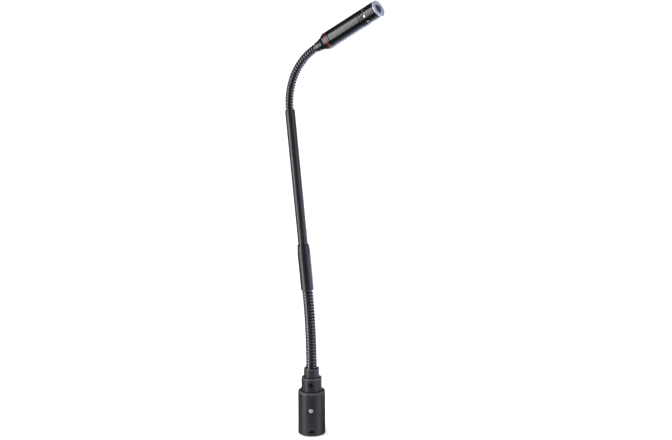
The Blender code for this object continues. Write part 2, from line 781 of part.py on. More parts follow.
def make_cables():
    """The signal cable in five stretches, one for each rigid part and each gooseneck."""

    def lower(distance):
        return arc_frame(LOWER_START, 0.0, TUBE_LEAN, LOWER_LENGTH, distance)

    def upper(distance):
        return arc_frame(UPPER_START, TUBE_LEAN, UPPER_TURN, UPPER_LENGTH, distance)

    cable("signal_cable_base", lambda z: along(BASE_FRAME, z), (BOARD_Z, FERRULE_TOP - GAP))
    cable("signal_cable_lower", lower, even_steps(LOWER_LENGTH, 8))
    cable("signal_cable_stem", lambda z: along(SLEEVE_FRAME, z),
          (GAP, SLEEVE_LENGTH + TUBE_VISIBLE - GAP))
    cable("signal_cable_upper", upper, even_steps(UPPER_LENGTH, 12))
    cable("signal_cable_head", lambda z: along(HEAD_FRAME, z), (GAP, BARREL_START + mm(3.6)))


# ---- build -------------------------------------------------------------------

clear_scene()
MATERIALS = {name: material(name, *values) for name, values in FINISHES.items()}

make_connector_shell()
make_contact_insert()
make_contact_pins()
make_insert_screw()
make_ground_tab()
make_base_board()
make_neck_collar()
make_set_screw()
make_lower_ferrule()
make_goosenecks()
make_middle_sleeve()
make_rigid_tube()
make_tube_plug()
make_gooseneck_collar()
make_tail_nut()
make_tail_cap()
make_marker_ring()
make_head_barrel()
make_coupling_ring()
make_element_housing()
make_port_gauze()
make_front_ring()
make_front_grille()
make_capsule()
make_contact_block()
make_head_board()
make_cables()
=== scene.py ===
import json
import math

import bpy
import numpy as np
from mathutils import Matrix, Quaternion, Vector

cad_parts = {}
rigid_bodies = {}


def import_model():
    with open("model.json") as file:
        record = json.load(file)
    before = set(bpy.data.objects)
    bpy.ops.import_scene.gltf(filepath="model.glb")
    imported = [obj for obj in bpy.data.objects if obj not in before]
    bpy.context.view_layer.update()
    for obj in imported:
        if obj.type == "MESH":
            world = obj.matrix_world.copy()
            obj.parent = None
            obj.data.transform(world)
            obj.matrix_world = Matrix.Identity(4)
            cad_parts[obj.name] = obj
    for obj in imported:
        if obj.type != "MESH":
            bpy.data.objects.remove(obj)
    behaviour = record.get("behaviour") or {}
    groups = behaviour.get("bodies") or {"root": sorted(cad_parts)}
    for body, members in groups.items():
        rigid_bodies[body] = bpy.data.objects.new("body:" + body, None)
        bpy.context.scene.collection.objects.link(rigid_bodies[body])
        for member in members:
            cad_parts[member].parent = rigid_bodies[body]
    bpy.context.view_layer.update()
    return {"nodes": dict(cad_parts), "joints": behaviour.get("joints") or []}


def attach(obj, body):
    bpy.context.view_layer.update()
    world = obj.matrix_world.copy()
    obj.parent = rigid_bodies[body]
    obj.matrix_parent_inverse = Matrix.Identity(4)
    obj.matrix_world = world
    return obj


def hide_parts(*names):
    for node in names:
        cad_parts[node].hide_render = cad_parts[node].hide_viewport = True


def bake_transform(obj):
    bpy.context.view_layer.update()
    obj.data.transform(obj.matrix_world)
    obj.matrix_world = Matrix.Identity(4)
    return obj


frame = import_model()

mm = 0.001
fullTurn = 2 * math.pi


# Places: an origin and three axes as columns, so a piece is drawn upright and then set on its own axis.

def tiltedPlace(x, z, heading):
    # local Z leans from world Z towards world X by the heading, and local Y stays world Y
    turn = np.array([[math.cos(heading), 0, math.sin(heading)], [0, 1, 0],
                     [-math.sin(heading), 0, math.cos(heading)]])
    return {"origin": np.array([x, 0.0, z]), "turn": turn, "heading": heading}


def sidePlace(angle, station, place=None):
    # local Z points straight out of a piece's side at this angle and station, and local Y runs round it
    out = np.array([math.cos(angle), math.sin(angle), 0])
    along = np.array([-math.sin(angle), math.cos(angle), 0])
    turn = np.column_stack([np.cross(along, out), along, out])
    if place is None:
        place = basePlace
    return {"origin": place["origin"] + place["turn"] @ np.array([0, 0, station]),
            "turn": place["turn"] @ turn}


def toWorld(place, points):
    return points @ place["turn"].T + place["origin"]


def nodePoints(name):
    mesh = frame["nodes"][name].data
    flat = np.empty(len(mesh.vertices) * 3, np.float32)
    mesh.vertices.foreach_get("co", flat)
    return flat.reshape(-1, 3).astype(float)


def span(name, place):
    # how far a CAD node reaches along a place's axis, and its smallest and largest distance from that axis
    local = (nodePoints(name) - place["origin"]) @ place["turn"]
    radius = np.hypot(local[:, 0], local[:, 1])
    return {"low": local[:, 2].min(), "high": local[:, 2].max(), "bore": radius.min(), "radius": radius.max(),
            "middle": local.mean(0)}


def readNeck(prefix):
    # hinges sit half a step in from both ends of an even arc, and the sideways hinges' axes give its
    # heading
    hinges = [j for j in frame["joints"] if j["name"].startswith(prefix)]
    sways = [n for n, j in enumerate(hinges) if "sway" in j["name"]]
    headings = [math.atan2(-hinges[n]["axis"][2], hinges[n]["axis"][0]) for n in sways]
    step = (headings[-1] - headings[0]) / (sways[-1] - sways[0])
    first, second = (np.array(hinges[n]["pos_m"]) for n in (0, 1))
    radius = np.linalg.norm(second - first) / 2 / math.sin(step / 2)
    start = headings[0] - step * (sways[0] + 0.5)
    reach = start + step / 2
    x = first[0] - (math.cos(start) - math.cos(reach)) * radius
    z = first[2] - (math.sin(reach) - math.sin(start)) * radius
    return {"x": x, "z": z, "heading": start, "bend": step * len(hinges), "pitch": radius * step,
            "length": radius * step * len(hinges), "radius": radius,
            "bodies": [hinges[0]["parent"]] + [j["child"] for j in hinges]}


def neckLine(neck, distance):
    # centre line of a neck: an even arc, run on straight past both ends
    kept = np.clip(distance, 0, neck["length"])
    heading = neck["heading"] + neck["bend"] * kept / neck["length"]
    x = neck["x"] + (math.cos(neck["heading"]) - np.cos(heading)) * neck["radius"]
    z = neck["z"] + (np.sin(heading) - math.sin(neck["heading"])) * neck["radius"]
    beyond = distance - kept
    return x + np.sin(heading) * beyond, z + np.cos(heading) * beyond, heading


basePlace = tiltedPlace(0.0, 0.0, 0.0)
lowerNeck = readNeck("lower")
upperNeck = readNeck("upper")
sleevePlace = tiltedPlace(*(float(v) for v in neckLine(lowerNeck, np.array(lowerNeck["length"]))))
tubePlace = tiltedPlace(upperNeck["x"], upperNeck["z"], upperNeck["heading"])
headPlace = tiltedPlace(*(float(v) for v in neckLine(upperNeck, np.array(upperNeck["length"]))))
print("necks read: lower %.1f mm, upper %.1f mm" % (lowerNeck["length"] / mm, upperNeck["length"] / mm))


# Meshes

def makePiece(name, points, faces, uv, marks, skin, body=None, replaced=(), sharp=42):
    # points, lists of same-sided faces and their corner uvs go in as whole arrays
    mesh = bpy.data.meshes.new(name)
    corners = np.concatenate([f.ravel() for f in faces]).astype(np.int32)
    sizes = np.concatenate([np.full(len(f), f.shape[1]) for f in faces])
    mesh.vertices.add(len(points))
    mesh.vertices.foreach_set("co", points.astype(np.float32).ravel())
    mesh.loops.add(len(corners))
    mesh.loops.foreach_set("vertex_index", corners)
    mesh.polygons.add(len(sizes))
    mesh.polygons.foreach_set("loop_start", np.concatenate([[0], np.cumsum(sizes)[:-1]]).astype(np.int32))
    mesh.update(calc_edges=True)
    layer = mesh.uv_layers.new(name="surface")
    layer.data.foreach_set("uv", np.concatenate([c.reshape(-1, 2) for c in uv]).astype(np.float32).ravel())
    for key, values in marks.items():
        kind = "FLOAT_VECTOR" if values.ndim == 2 else "FLOAT"
        field = "vector" if values.ndim == 2 else "value"
        mesh.attributes.new(key, kind, "POINT").data.foreach_set(field, values.astype(np.float32).ravel())
    mesh.validate()
    mesh.shade_smooth()
    mesh.set_sharp_from_angle(angle=math.radians(sharp))
    mesh.materials.append(skin)
    piece = bpy.data.objects.new(name, mesh)
    bpy.context.scene.collection.objects.link(piece)
    if body:
        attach(piece, body)
    if replaced:
        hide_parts(*replaced)
    return piece


def roundedOutline(corners, closed, steps=6, wear=0.35 * mm):
    # each corner (radius, station, fillet) becomes an arc that leaves and joins its two sides smoothly
    corners = [tuple(c) + (0,) * (3 - len(c)) for c in corners]
    ring = np.array([c[:2] for c in corners])
    after = np.roll(ring, -1, 0)
    if closed and np.sum(ring[:, 0] * after[:, 1] - after[:, 0] * ring[:, 1]) < 0:
        corners = corners[::-1]
        ring = ring[::-1]
    count = len(corners)
    points, kinds = [], []
    for n, (*_, fillet) in enumerate(corners):
        here = ring[n]
        if not closed and n in (0, count - 1):
            points.append(here[None])
            kinds.append([0.0])
            continue
        before, ahead = ring[n - 1] - here, ring[(n + 1) % count] - here
        lengths = np.linalg.norm(before), np.linalg.norm(ahead)
        before, ahead = before / lengths[0], ahead / lengths[1]
        bulge = np.sign(before[1] * ahead[0] - before[0] * ahead[1])  # 1 outside corner, -1 inside corner
        half = math.acos(np.clip(before @ ahead, -1, 1)) / 2
        reach = min(fillet / math.tan(half), lengths[0] * 0.49, lengths[1] * 0.49)
        if reach < 1e-7:
            points.append(here[None])
            kinds.append([bulge])
            continue
        true = reach * math.tan(half)
        middle = (before + ahead) / np.linalg.norm(before + ahead)
        centre = here + middle * reach / math.cos(half)
        first, last = here + before * reach - centre, here + ahead * reach - centre
        sweep = np.linspace(0, 1, steps + 1)[:, None]
        arc = first * np.sin((1 - sweep) * (math.pi - 2 * half)) + last * np.sin(sweep * (math.pi - 2 * half))
        arc = arc / np.linalg.norm(arc, axis=1)[:, None] * true
        points.append(centre + arc)
        kinds.append([bulge] * (steps + 1))
    points, kinds = np.concatenate(points), np.concatenate(kinds)
    return refined(points, kinds, closed, wear)


def refined(points, kinds, closed, wear):
    # long straight runs get extra rows near their ends, where wear fades out, and the marks fall off with
    # distance
    ends = np.roll(points, -1, 0) if closed else points[1:]
    runs = np.linalg.norm(ends - points[:len(ends)], axis=1)
    outPoints, outEdge, outRecess = [], [], []
    nextKinds = np.roll(kinds, -1) if closed else kinds[1:]
    for here, there, run, kind, nextKind in zip(points, ends, runs, kinds, nextKinds):
        near = np.array([0.0, 0.25, 0.6, 1.1, 2.0]) * wear
        steps = near[near < run * 0.45]
        distances = np.concatenate([steps, run - steps[1:][::-1]]) if run > 2 * wear else np.array([0.0])
        fromHere, fromThere = np.exp(-(distances / wear) ** 2), np.exp(-((run - distances) / wear) ** 2)
        outPoints.append(here + (there - here) * (distances / max(run, 1e-12))[:, None])
        outEdge.append(np.maximum(fromHere * (kind > 0), fromThere * (nextKind > 0)))
        outRecess.append(np.maximum(fromHere * (kind < 0), fromThere * (nextKind < 0)))
    if not closed:
        outPoints.append(points[-1:])
        outEdge.append([0.0])
        outRecess.append([0.0])
    return np.concatenate(outPoints), np.concatenate(outEdge), np.concatenate(outRecess)


def gridFaces(rows, angles, lengths, closed):
    # quads between neighbouring rows of a turned grid, facing out when the outline runs up on its outside
    columns = len(angles)
    low = np.arange(rows if closed else rows - 1)[:, None]
    side = np.arange(columns)[None]
    high, nextSide = (low + 1) % rows, (side + 1) % columns
    faces = np.stack([low * columns + side, low * columns + nextSide, high * columns + nextSide,
                      high * columns + side], -1)
    turns = np.append(angles, angles[0] + fullTurn) / fullTurn
    stations = np.append(lengths, lengths[-1] + 0.5 * mm)
    u = np.stack([turns[side], turns[side + 1], turns[side + 1], turns[side]], -1) + 0 * faces
    v = np.stack([stations[low], stations[low], stations[low + 1], stations[low + 1]], -1) + 0 * faces
    return faces, np.stack([u, v], -1)


def profileLengths(outline):
    return np.concatenate([[0], np.cumsum(np.linalg.norm(np.diff(outline, axis=0), axis=1))])


def turned(name, corners, place, skin, body, replaced, sides=96, sharp=42):
    # a body of revolution: the rounded outline swept round its axis, closed at its poles or on itself
    solid = corners[0][0] == 0
    outline, edge, recess = roundedOutline(corners, not solid)
    lengths = profileLengths(outline)
    angles = np.arange(sides) * fullTurn / sides
    ring = np.stack([np.cos(angles), np.sin(angles)], -1)
    if solid:
        outline, edge, recess, poles = outline[1:-1], edge[1:-1], recess[1:-1], outline[[0, -1]]
        lengths = lengths[1:-1]
    rows = len(outline)
    points = np.concatenate([outline[:, None, :1] * ring, np.broadcast_to(outline[:, None, 1:],
                                                                          (rows, sides, 1))], -1)
    points = points.reshape(-1, 3)
    faces, uv = gridFaces(rows, angles, lengths, not solid)
    faces, uv = [faces.reshape(-1, 4)], [uv.reshape(-1, 4, 2)]
    edge, recess = np.repeat(edge, sides), np.repeat(recess, sides)
    if solid:
        side = np.arange(sides)
        after = (side + 1) % sides
        bottom, top = len(points), len(points) + 1
        points = np.concatenate([points, [[0, 0, poles[0][1]], [0, 0, poles[1][1]]]])
        last = (rows - 1) * sides
        faces.append(np.stack([np.full(sides, bottom), after, side], -1))
        faces.append(np.stack([last + side, last + after, np.full(sides, top)], -1))
        for length in (0.0, lengths[-1]):
            uv.append(np.stack([np.repeat(side[:, None] / sides, 3, 1), np.full((sides, 3), length)], -1))
        edge, recess = np.append(edge, [0, 0]), np.append(recess, [0, 0])
    return makePiece(name, toWorld(place, points), faces, uv, {"edge": edge, "recess": recess}, skin,
                     body,
                     replaced, sharp)


def slotLoop(halfLength, halfWidth, direction):
    # where a ray from the middle of a round-ended slot leaves it; a round hole is a slot as long as it is
    # wide
    c, s = np.cos(direction), np.sin(direction)
    run = halfLength - halfWidth
    flat = halfWidth * c / np.maximum(np.abs(s), 1e-9)
    end = run * np.abs(c) + np.sqrt(np.maximum(halfWidth ** 2 - (run * s) ** 2, 0))
    length = np.where(np.abs(flat) <= run, halfWidth / np.maximum(np.abs(s), 1e-9), end)
    return np.stack([c, s], -1) * length[:, None]


def drilled(name, corners, holes, walls, place, skin, body, replaced, gap=6.0, across=14, rise=12):
    # a turned wall whose grid opens into a ring of quads round each hole; every hole has a rounded lip, a
    # straight side and the same ring of quads on the inner wall, so the whole piece is one closed surface
    outer, inner = walls
    outline, edge, recess = roundedOutline(corners, True)
    bands = sorted({(h["station"], h["halfRise"]) for h in holes})
    for station, halfRise in bands:
        levels = np.linspace(station - halfRise, station + halfRise, rise + 1)
        for radius, order in ((outer, levels), (inner, levels[::-1])):
            ahead = np.roll(outline, -1, 0)
            onWall = (abs(outline[:, 0] - radius) < 1e-7) & (abs(ahead[:, 0] - radius) < 1e-7)
            inBand = onWall & (np.maximum(outline[:, 1], ahead[:, 1]) > levels[0]) & (
                np.minimum(outline[:, 1], ahead[:, 1]) < levels[-1])
            first, last = np.flatnonzero(inBand)[[0, -1]]
            added = np.stack([np.full(len(order), radius), order], -1)
            outline = np.concatenate([outline[:first + 1], added, outline[last + 1:]])
            edge = np.concatenate([edge[:first + 1], np.zeros(len(order)), edge[last + 1:]])
            recess = np.concatenate([recess[:first + 1], np.zeros(len(order)), recess[last + 1:]])
    turns = sorted({h["angle"] for h in holes})
    halfTurn = holes[0]["halfTurn"]
    angles = []
    for n, angle in enumerate(turns):
        ahead = turns[(n + 1) % len(turns)] + (fullTurn if n == len(turns) - 1 else 0)
        angles.append(np.linspace(angle - halfTurn, angle + halfTurn, across + 1))
        free = ahead - angle - 2 * halfTurn
        fill = max(1, round(free / math.radians(gap)))
        angles.append(angle + halfTurn + free * np.arange(1, fill) / fill)
    angles = np.concatenate(angles)
    columns, rows = len(angles), len(outline)
    lengths = profileLengths(outline)
    ring = np.stack([np.cos(angles), np.sin(angles)], -1)
    points = np.concatenate([outline[:, None, :1] * ring, np.broadcast_to(outline[:, None, 1:],
                                                                          (rows, columns, 1))],
                            -1).reshape(-1, 3)
    faces, uv = gridFaces(rows, angles, lengths, True)
    keep = np.ones(faces.shape[:2], bool)
    extraPoints, extraFaces, extraUv, extraEdge = [], [], [], []
    total = len(points)
    across2 = np.arange(across + 1)
    for hole in holes:
        levels = np.linspace(hole["station"] - hole["halfRise"], hole["station"] + hole["halfRise"], rise + 1)
        left = int(np.argmin(abs(angles - (hole["angle"] - halfTurn))))
        loops = []
        for radius in (outer, inner):
            rowOf = np.array([np.argmin(abs(outline[:, 0] - radius) + abs(outline[:, 1] - level))
                              for level in levels])
            keep[min(rowOf[0], rowOf[-1]):max(rowOf[0], rowOf[-1]), left:left + across] = False
            loops.append(np.concatenate([rowOf[0] * columns + left + across2[:-1],
                                         rowOf[:-1] * columns + left + across,
                                         rowOf[-1] * columns + left + across2[:0:-1],
                                         rowOf[:0:-1] * columns + left]))
        out = np.array([math.cos(hole["angle"]), math.sin(hole["angle"]), 0])
        along = np.array([-out[1], out[0], 0])
        flat = [np.stack([points[loop] @ along, points[loop][:, 2] - hole["station"]], -1) for loop in loops]
        direction = np.arctan2(flat[0][:, 1], flat[0][:, 0])
        rim = slotLoop(hole["halfLength"], hole["halfWidth"], direction)
        ray = rim / np.linalg.norm(rim, axis=1)[:, None]
        lip = hole["lip"]
        loopsIn, marks = [], []
        for share in (0.3, 0.55, 0.75, 0.9, 1.0):  # outer wall, closing in on the lip
            near = flat[0] * (1 - share) + (rim + ray * lip) * share
            loopsIn.append((near, np.sqrt(outer ** 2 - near[:, 0] ** 2)))
            marks.append(max(0.0, share - 0.55) / 0.45)
        for turn in (22.5, 45, 67.5, 90):  # rounded lip
            a = math.radians(turn)
            near = rim + ray * lip * (1 - math.sin(a))
            loopsIn.append((near, np.sqrt(outer ** 2 - near[:, 0] ** 2) - lip * (1 - math.cos(a))))
            marks.append(1.0 - turn / 180)
        top, bottom = loopsIn[-1][1], np.sqrt(inner ** 2 - rim[:, 0] ** 2)
        for share in (0.3, 1.0):  # straight side of the hole
            loopsIn.append((rim, top + (bottom - top) * share))
            marks.append(0.0)
        near = flat[1] * 0.5 + rim * 0.5
        loopsIn.append((near, np.sqrt(inner ** 2 - near[:, 0] ** 2)))
        marks.append(0.0)
        size = len(loops[0])
        ids = [loops[0]] + [total + n * size + np.arange(size) for n in range(len(loopsIn))] + [loops[1]]
        total += len(loopsIn) * size
        for near, depth in loopsIn:
            extraPoints.append(depth[:, None] * out + near[:, :1] * along + np.array([0, 0, 1]) * (
                near[:, 1:] + hole["station"]))
        extraEdge.extend(np.full(size, m) for m in marks)
        for a, b in zip(ids, ids[1:]):
            extraFaces.append(np.stack([a, np.roll(a, -1), np.roll(b, -1), b], -1))
    allPoints = np.concatenate([points] + extraPoints)
    extraFaces = np.concatenate(extraFaces)
    at = allPoints[extraFaces]
    turn = np.arctan2(at[..., 1], at[..., 0]) / fullTurn
    extraUv = np.stack([turn, at[..., 2]], -1)
    marks = {"edge": np.concatenate([np.repeat(edge, columns)] + extraEdge),
             "recess": np.concatenate([np.repeat(recess, columns),
                                       np.zeros(len(allPoints) - rows * columns)])}
    return makePiece(name, toWorld(place, allPoints), [faces[keep], extraFaces], [uv[keep], extraUv], marks,
                     skin,
                     body, replaced)


def recessedScrew(name, outlineOf, place, size, skin, body, replaced, sides=120):
    # a screw head on its shank: rings run from the recess's floor, up its shaped wall, out to the round
    # edge, then down the side and back to the axis; outlineOf(angle) is the recess's radius in each
    # direction
    angles = np.arange(sides) * fullTurn / sides
    shape = outlineOf(angles)
    face, depth, radius = size["face"], size["depth"], size["radius"]
    rings = []
    for share in (0.35, 0.8, 1.0):
        rings.append((shape * size["floor"] * share, np.full(sides, face - depth)))
    for share in (0.5, 0.93, 1.0):
        rings.append((shape * (size["floor"] + (1 - size["floor"]) * share),
                      np.full(sides, face - depth * (1 - share))))
    rings.append((shape + 0.04 * mm, np.full(sides, face + 0.01 * mm)))
    for share in (0.35, 0.7, 1.0):
        across = (shape + 0.04 * mm) * (1 - share) + (radius - size["round"]) * share
        rings.append((across, face + 0.01 * mm - size["dome"] * (across / radius) ** 2))
    level = rings[-1][1].mean()
    for turn in (30, 60, 90):
        a = math.radians(turn)
        rings.append((np.full(sides, radius - size["round"] * (1 - math.sin(a))),
                      np.full(sides, level - size["round"] * (1 - math.cos(a)))))
    for r, z in ((radius, size["seat"]), (size["shank"], size["seat"]), (size["shank"], size["low"])):
        rings.append((np.full(sides, r), np.full(sides, z)))
    edgeRows = [0, 0, 0, 0, 0.6, 1, 1, 0.3, 0.3, 0.8, 1, 1, 0.6, 0, 0, 0]
    recessRows = [0.8, 0.8, 1, 0.6, 0, 0, 0, 0, 0, 0, 0, 0, 0, 0.5, 0.5, 0]
    points = np.concatenate([np.stack([r * np.cos(angles), r * np.sin(angles), z], -1) for r, z in rings])
    faces, uv = gridFaces(len(rings), angles, np.arange(len(rings)) * 0.2 * mm, False)
    faces = faces[..., ::-1].reshape(-1, 4)  # the rings run outwards, so faces are turned
    side = np.arange(sides)
    after = (side + 1) % sides
    last = (len(rings) - 1) * sides
    points = np.concatenate([points, [[0, 0, face - depth], [0, 0, size["low"]]]])
    floor = np.stack([np.full(sides, len(points) - 2), side, after], -1)
    back = np.stack([last + after, last + side, np.full(sides, len(points) - 1)], -1)
    fans = np.stack([np.repeat(side[:, None] / sides, 3, 1), np.zeros((sides, 3))], -1)
    marks = {"edge": np.append(np.repeat(edgeRows, sides), [0, 0]),
             "recess": np.append(np.repeat(recessRows, sides), [0.8, 0])}
    return makePiece(name, toWorld(place, points), [faces, floor, back],
                     [uv[..., ::-1, :].reshape(-1, 4, 2), fans, fans], marks,
                     skin, body, replaced)


# Node helpers and shared effects

def addNode(tree, kind, feeds=None, **settings):
    made = tree.nodes.new(kind)
    for key, value in settings.items():
        setattr(made, key, value)
    for key, value in (feeds or {}).items():
        if isinstance(value, bpy.types.NodeSocket):
            tree.links.new(value, made.inputs[key])
        else:
            made.inputs[key].default_value = value
    return made


def maths(tree, operation, a, b=0.0, clamp=False):
    return addNode(tree, "ShaderNodeMath", {0: a, 1: b}, operation=operation, use_clamp=clamp).outputs[0]


def remap(tree, value, fromLow, fromHigh, toLow=0.0, toHigh=1.0):
    feeds = {"Value": value, "From Min": fromLow, "From Max": fromHigh, "To Min": toLow, "To Max": toHigh}
    return addNode(tree, "ShaderNodeMapRange", feeds, interpolation_type="SMOOTHSTEP").outputs["Result"]


def mixColour(tree, factor, a, b, blend="MIX"):
    return addNode(tree, "ShaderNodeMix", {0: factor, 6: a, 7: b}, data_type="RGBA",
                   blend_type=blend).outputs[2]


def newGroup(name, inputs, outputs):
    group = bpy.data.node_groups.new(name, "ShaderNodeTree")
    for key, kind, value in inputs:
        socket = group.interface.new_socket(name=key, in_out="INPUT", socket_type=kind)
        if value is not None:
            socket.default_value = value
    for key, kind in outputs:
        group.interface.new_socket(name=key, in_out="OUTPUT", socket_type=kind)
    return group, group.nodes.new("NodeGroupInput").outputs, group.nodes.new("NodeGroupOutput").inputs


floatKind, colourKind, vectorKind = "NodeSocketFloat", "NodeSocketColor", "NodeSocketVector"


def buildCoatGrain():
    # three sizes of noise: the coat's fine tooth, its slow orange-peel swell and broad cloudiness
    group, given, out = newGroup("coatGrain", [("Vector", vectorKind, None), ("Scale", floatKind, 2500.0)],
                                 [("Height", floatKind), ("Cloud", floatKind)])
    fine = addNode(group, "ShaderNodeTexNoise", {"Vector": given["Vector"], "Scale": given["Scale"],
                                                 "Detail": 3.0})
    slow = maths(group, "MULTIPLY", given["Scale"], 0.22)
    swell = addNode(group, "ShaderNodeTexNoise", {"Vector": given["Vector"], "Scale": slow, "Detail": 1.0})
    broad = addNode(group, "ShaderNodeTexNoise", {"Vector": given["Vector"], "Scale": 55.0, "Detail": 2.0})
    height = maths(group, "ADD", maths(group, "MULTIPLY", fine.outputs[0], 0.45),
                   maths(group, "MULTIPLY", swell.outputs[0], 0.55))
    group.links.new(height, out["Height"])
    group.links.new(broad.outputs[0], out["Cloud"])
    return group


def buildEdgeWear():
    # wear is the edge mark broken up by noise; the recess mark gathers dust, and on the coil, whose dust
    # colour is darker than its base, it paints shade in the grooves
    group, given, out = newGroup(
        "wearDustAndShade", [("Vector", vectorKind, None), ("Edge", floatKind, 0.0), ("Recess", floatKind, 0.0),
                     ("Amount", floatKind, 0.5), ("Colour", colourKind, (0, 0, 0, 1)),
                     ("Worn", colourKind, (1, 1, 1, 1)),
                     ("DustAndShade", colourKind, (0.3, 0.3, 0.3, 1))],
        [("Colour", colourKind), ("Wear", floatKind), ("DustAndShade", floatKind)])
    chips = addNode(group, "ShaderNodeTexNoise", {"Vector": given["Vector"], "Scale": 1400.0, "Detail": 4.0,
                                                  "Roughness": 0.65})
    pushed = maths(group, "ADD", maths(group, "MULTIPLY", given["Edge"], given["Amount"]),
                   maths(group, "MULTIPLY", chips.outputs[0], 0.5))
    wear = remap(group, pushed, 0.52, 0.78)
    dustAndShade = maths(group, "MULTIPLY", remap(group, maths(group, "MULTIPLY", given["Recess"], chips.outputs[0]),
                                          0.22, 0.5), 0.35)
    group.links.new(mixColour(group, dustAndShade, mixColour(group, wear, given["Colour"], given["Worn"]),
                              given["DustAndShade"]),
                    out["Colour"])
    group.links.new(wear, out["Wear"])
    group.links.new(dustAndShade, out["DustAndShade"])
    return group


def buildHandling():
    # roughness gains faint smudges from hands, fine dust specks and short rubbed streaks
    group, given, out = newGroup("handling", [("Vector", vectorKind, None), ("Roughness", floatKind, 0.3),
                                              ("Smudge", floatKind, 0.1)],
                                 [("Roughness", floatKind), ("Specks", floatKind)])
    smudge = addNode(group, "ShaderNodeTexNoise", {"Vector": given["Vector"], "Scale": 120.0, "Detail": 3.0,
                                                   "Distortion": 1.2})
    cells = addNode(group, "ShaderNodeTexVoronoi", {"Vector": given["Vector"], "Scale": 900.0,
                                                    "Randomness": 1.0})
    specks = remap(group, cells.outputs["Distance"], 0.09, 0.04)
    spread = maths(group, "MULTIPLY", maths(group, "SUBTRACT", smudge.outputs[0], 0.5), given["Smudge"])
    rough = maths(group, "ADD", maths(group, "ADD", given["Roughness"], spread),
                  maths(group, "MULTIPLY", specks, 0.18),
                  clamp=True)
    group.links.new(rough, out["Roughness"])
    group.links.new(specks, out["Specks"])
    return group


def buildLatheLines():
    # fine rings left by turning: noise that only changes along the piece's outline
    group, given, out = newGroup("latheLines", [("Station", floatKind, 0.0), ("Scale", floatKind, 9000.0)],
                                 [("Height", floatKind)])
    lines = addNode(group, "ShaderNodeTexNoise", {"W": maths(group, "MULTIPLY", given["Station"],
                                                             given["Scale"]),
                                                  "Scale": 1.0, "Detail": 3.0, "Roughness": 0.7},
                    noise_dimensions="1D")
    group.links.new(lines.outputs[0], out["Height"])
    return group


def buildPlainWeave():
    # wires crossing over and under: each wire is a half-round ridge, raised where a slow checker says it is
    # on top
    group, given, out = newGroup("plainWeave", [("Across", floatKind, 0.0), ("Along", floatKind, 0.0)],
                                 [("Height", floatKind), ("Wire", floatKind)])

    def ridge(value):
        saw = maths(group, "SUBTRACT", maths(group, "MULTIPLY", maths(group, "FRACT", value), 2.0), 1.0)
        return maths(group, "SUBTRACT", 1.0, maths(group, "MULTIPLY", saw, saw))

    def wave(value):
        return maths(group, "SINE", maths(group, "MULTIPLY", value, math.pi))

    over = maths(group, "MULTIPLY", maths(group, "MULTIPLY", wave(given["Across"]), wave(given["Along"])),
                 0.35)
    warp = maths(group, "MULTIPLY", ridge(given["Across"]), maths(group, "ADD", 0.6, over))
    weft = maths(group, "MULTIPLY", ridge(given["Along"]), maths(group, "SUBTRACT", 0.6, over))
    height = maths(group, "MAXIMUM", warp, weft)
    group.links.new(height, out["Height"])
    group.links.new(remap(group, height, 0.2, 0.45), out["Wire"])
    return group


coatGrain, wearDustAndShade, handling = buildCoatGrain(), buildEdgeWear(), buildHandling()
latheLines, plainWeave = buildLatheLines(), buildPlainWeave()


def useGroup(tree, group, feeds):
    made = addNode(tree, "ShaderNodeGroup", node_tree=group)
    for key, value in feeds.items():
        if isinstance(value, bpy.types.NodeSocket):
            tree.links.new(value, made.inputs[key])
        else:
            made.inputs[key].default_value = value
    return made.outputs


def mark(tree, name):
    return addNode(tree, "ShaderNodeAttribute", attribute_name=name)


def startMaterial(name, constants):
    made = bpy.data.materials.new(name)
    made.use_nodes = True
    tree = made.node_tree
    shader = tree.nodes["Principled BSDF"]
    for key, value in constants.items():
        shader.inputs[key].default_value = value
    return made, tree, shader.inputs


def addBump(tree, sockets, height, distance, strength=1.0):
    bump = addNode(tree, "ShaderNodeBump", {"Height": height, "Distance": distance, "Strength": strength})
    tree.links.new(bump.outputs[0], sockets["Normal"])


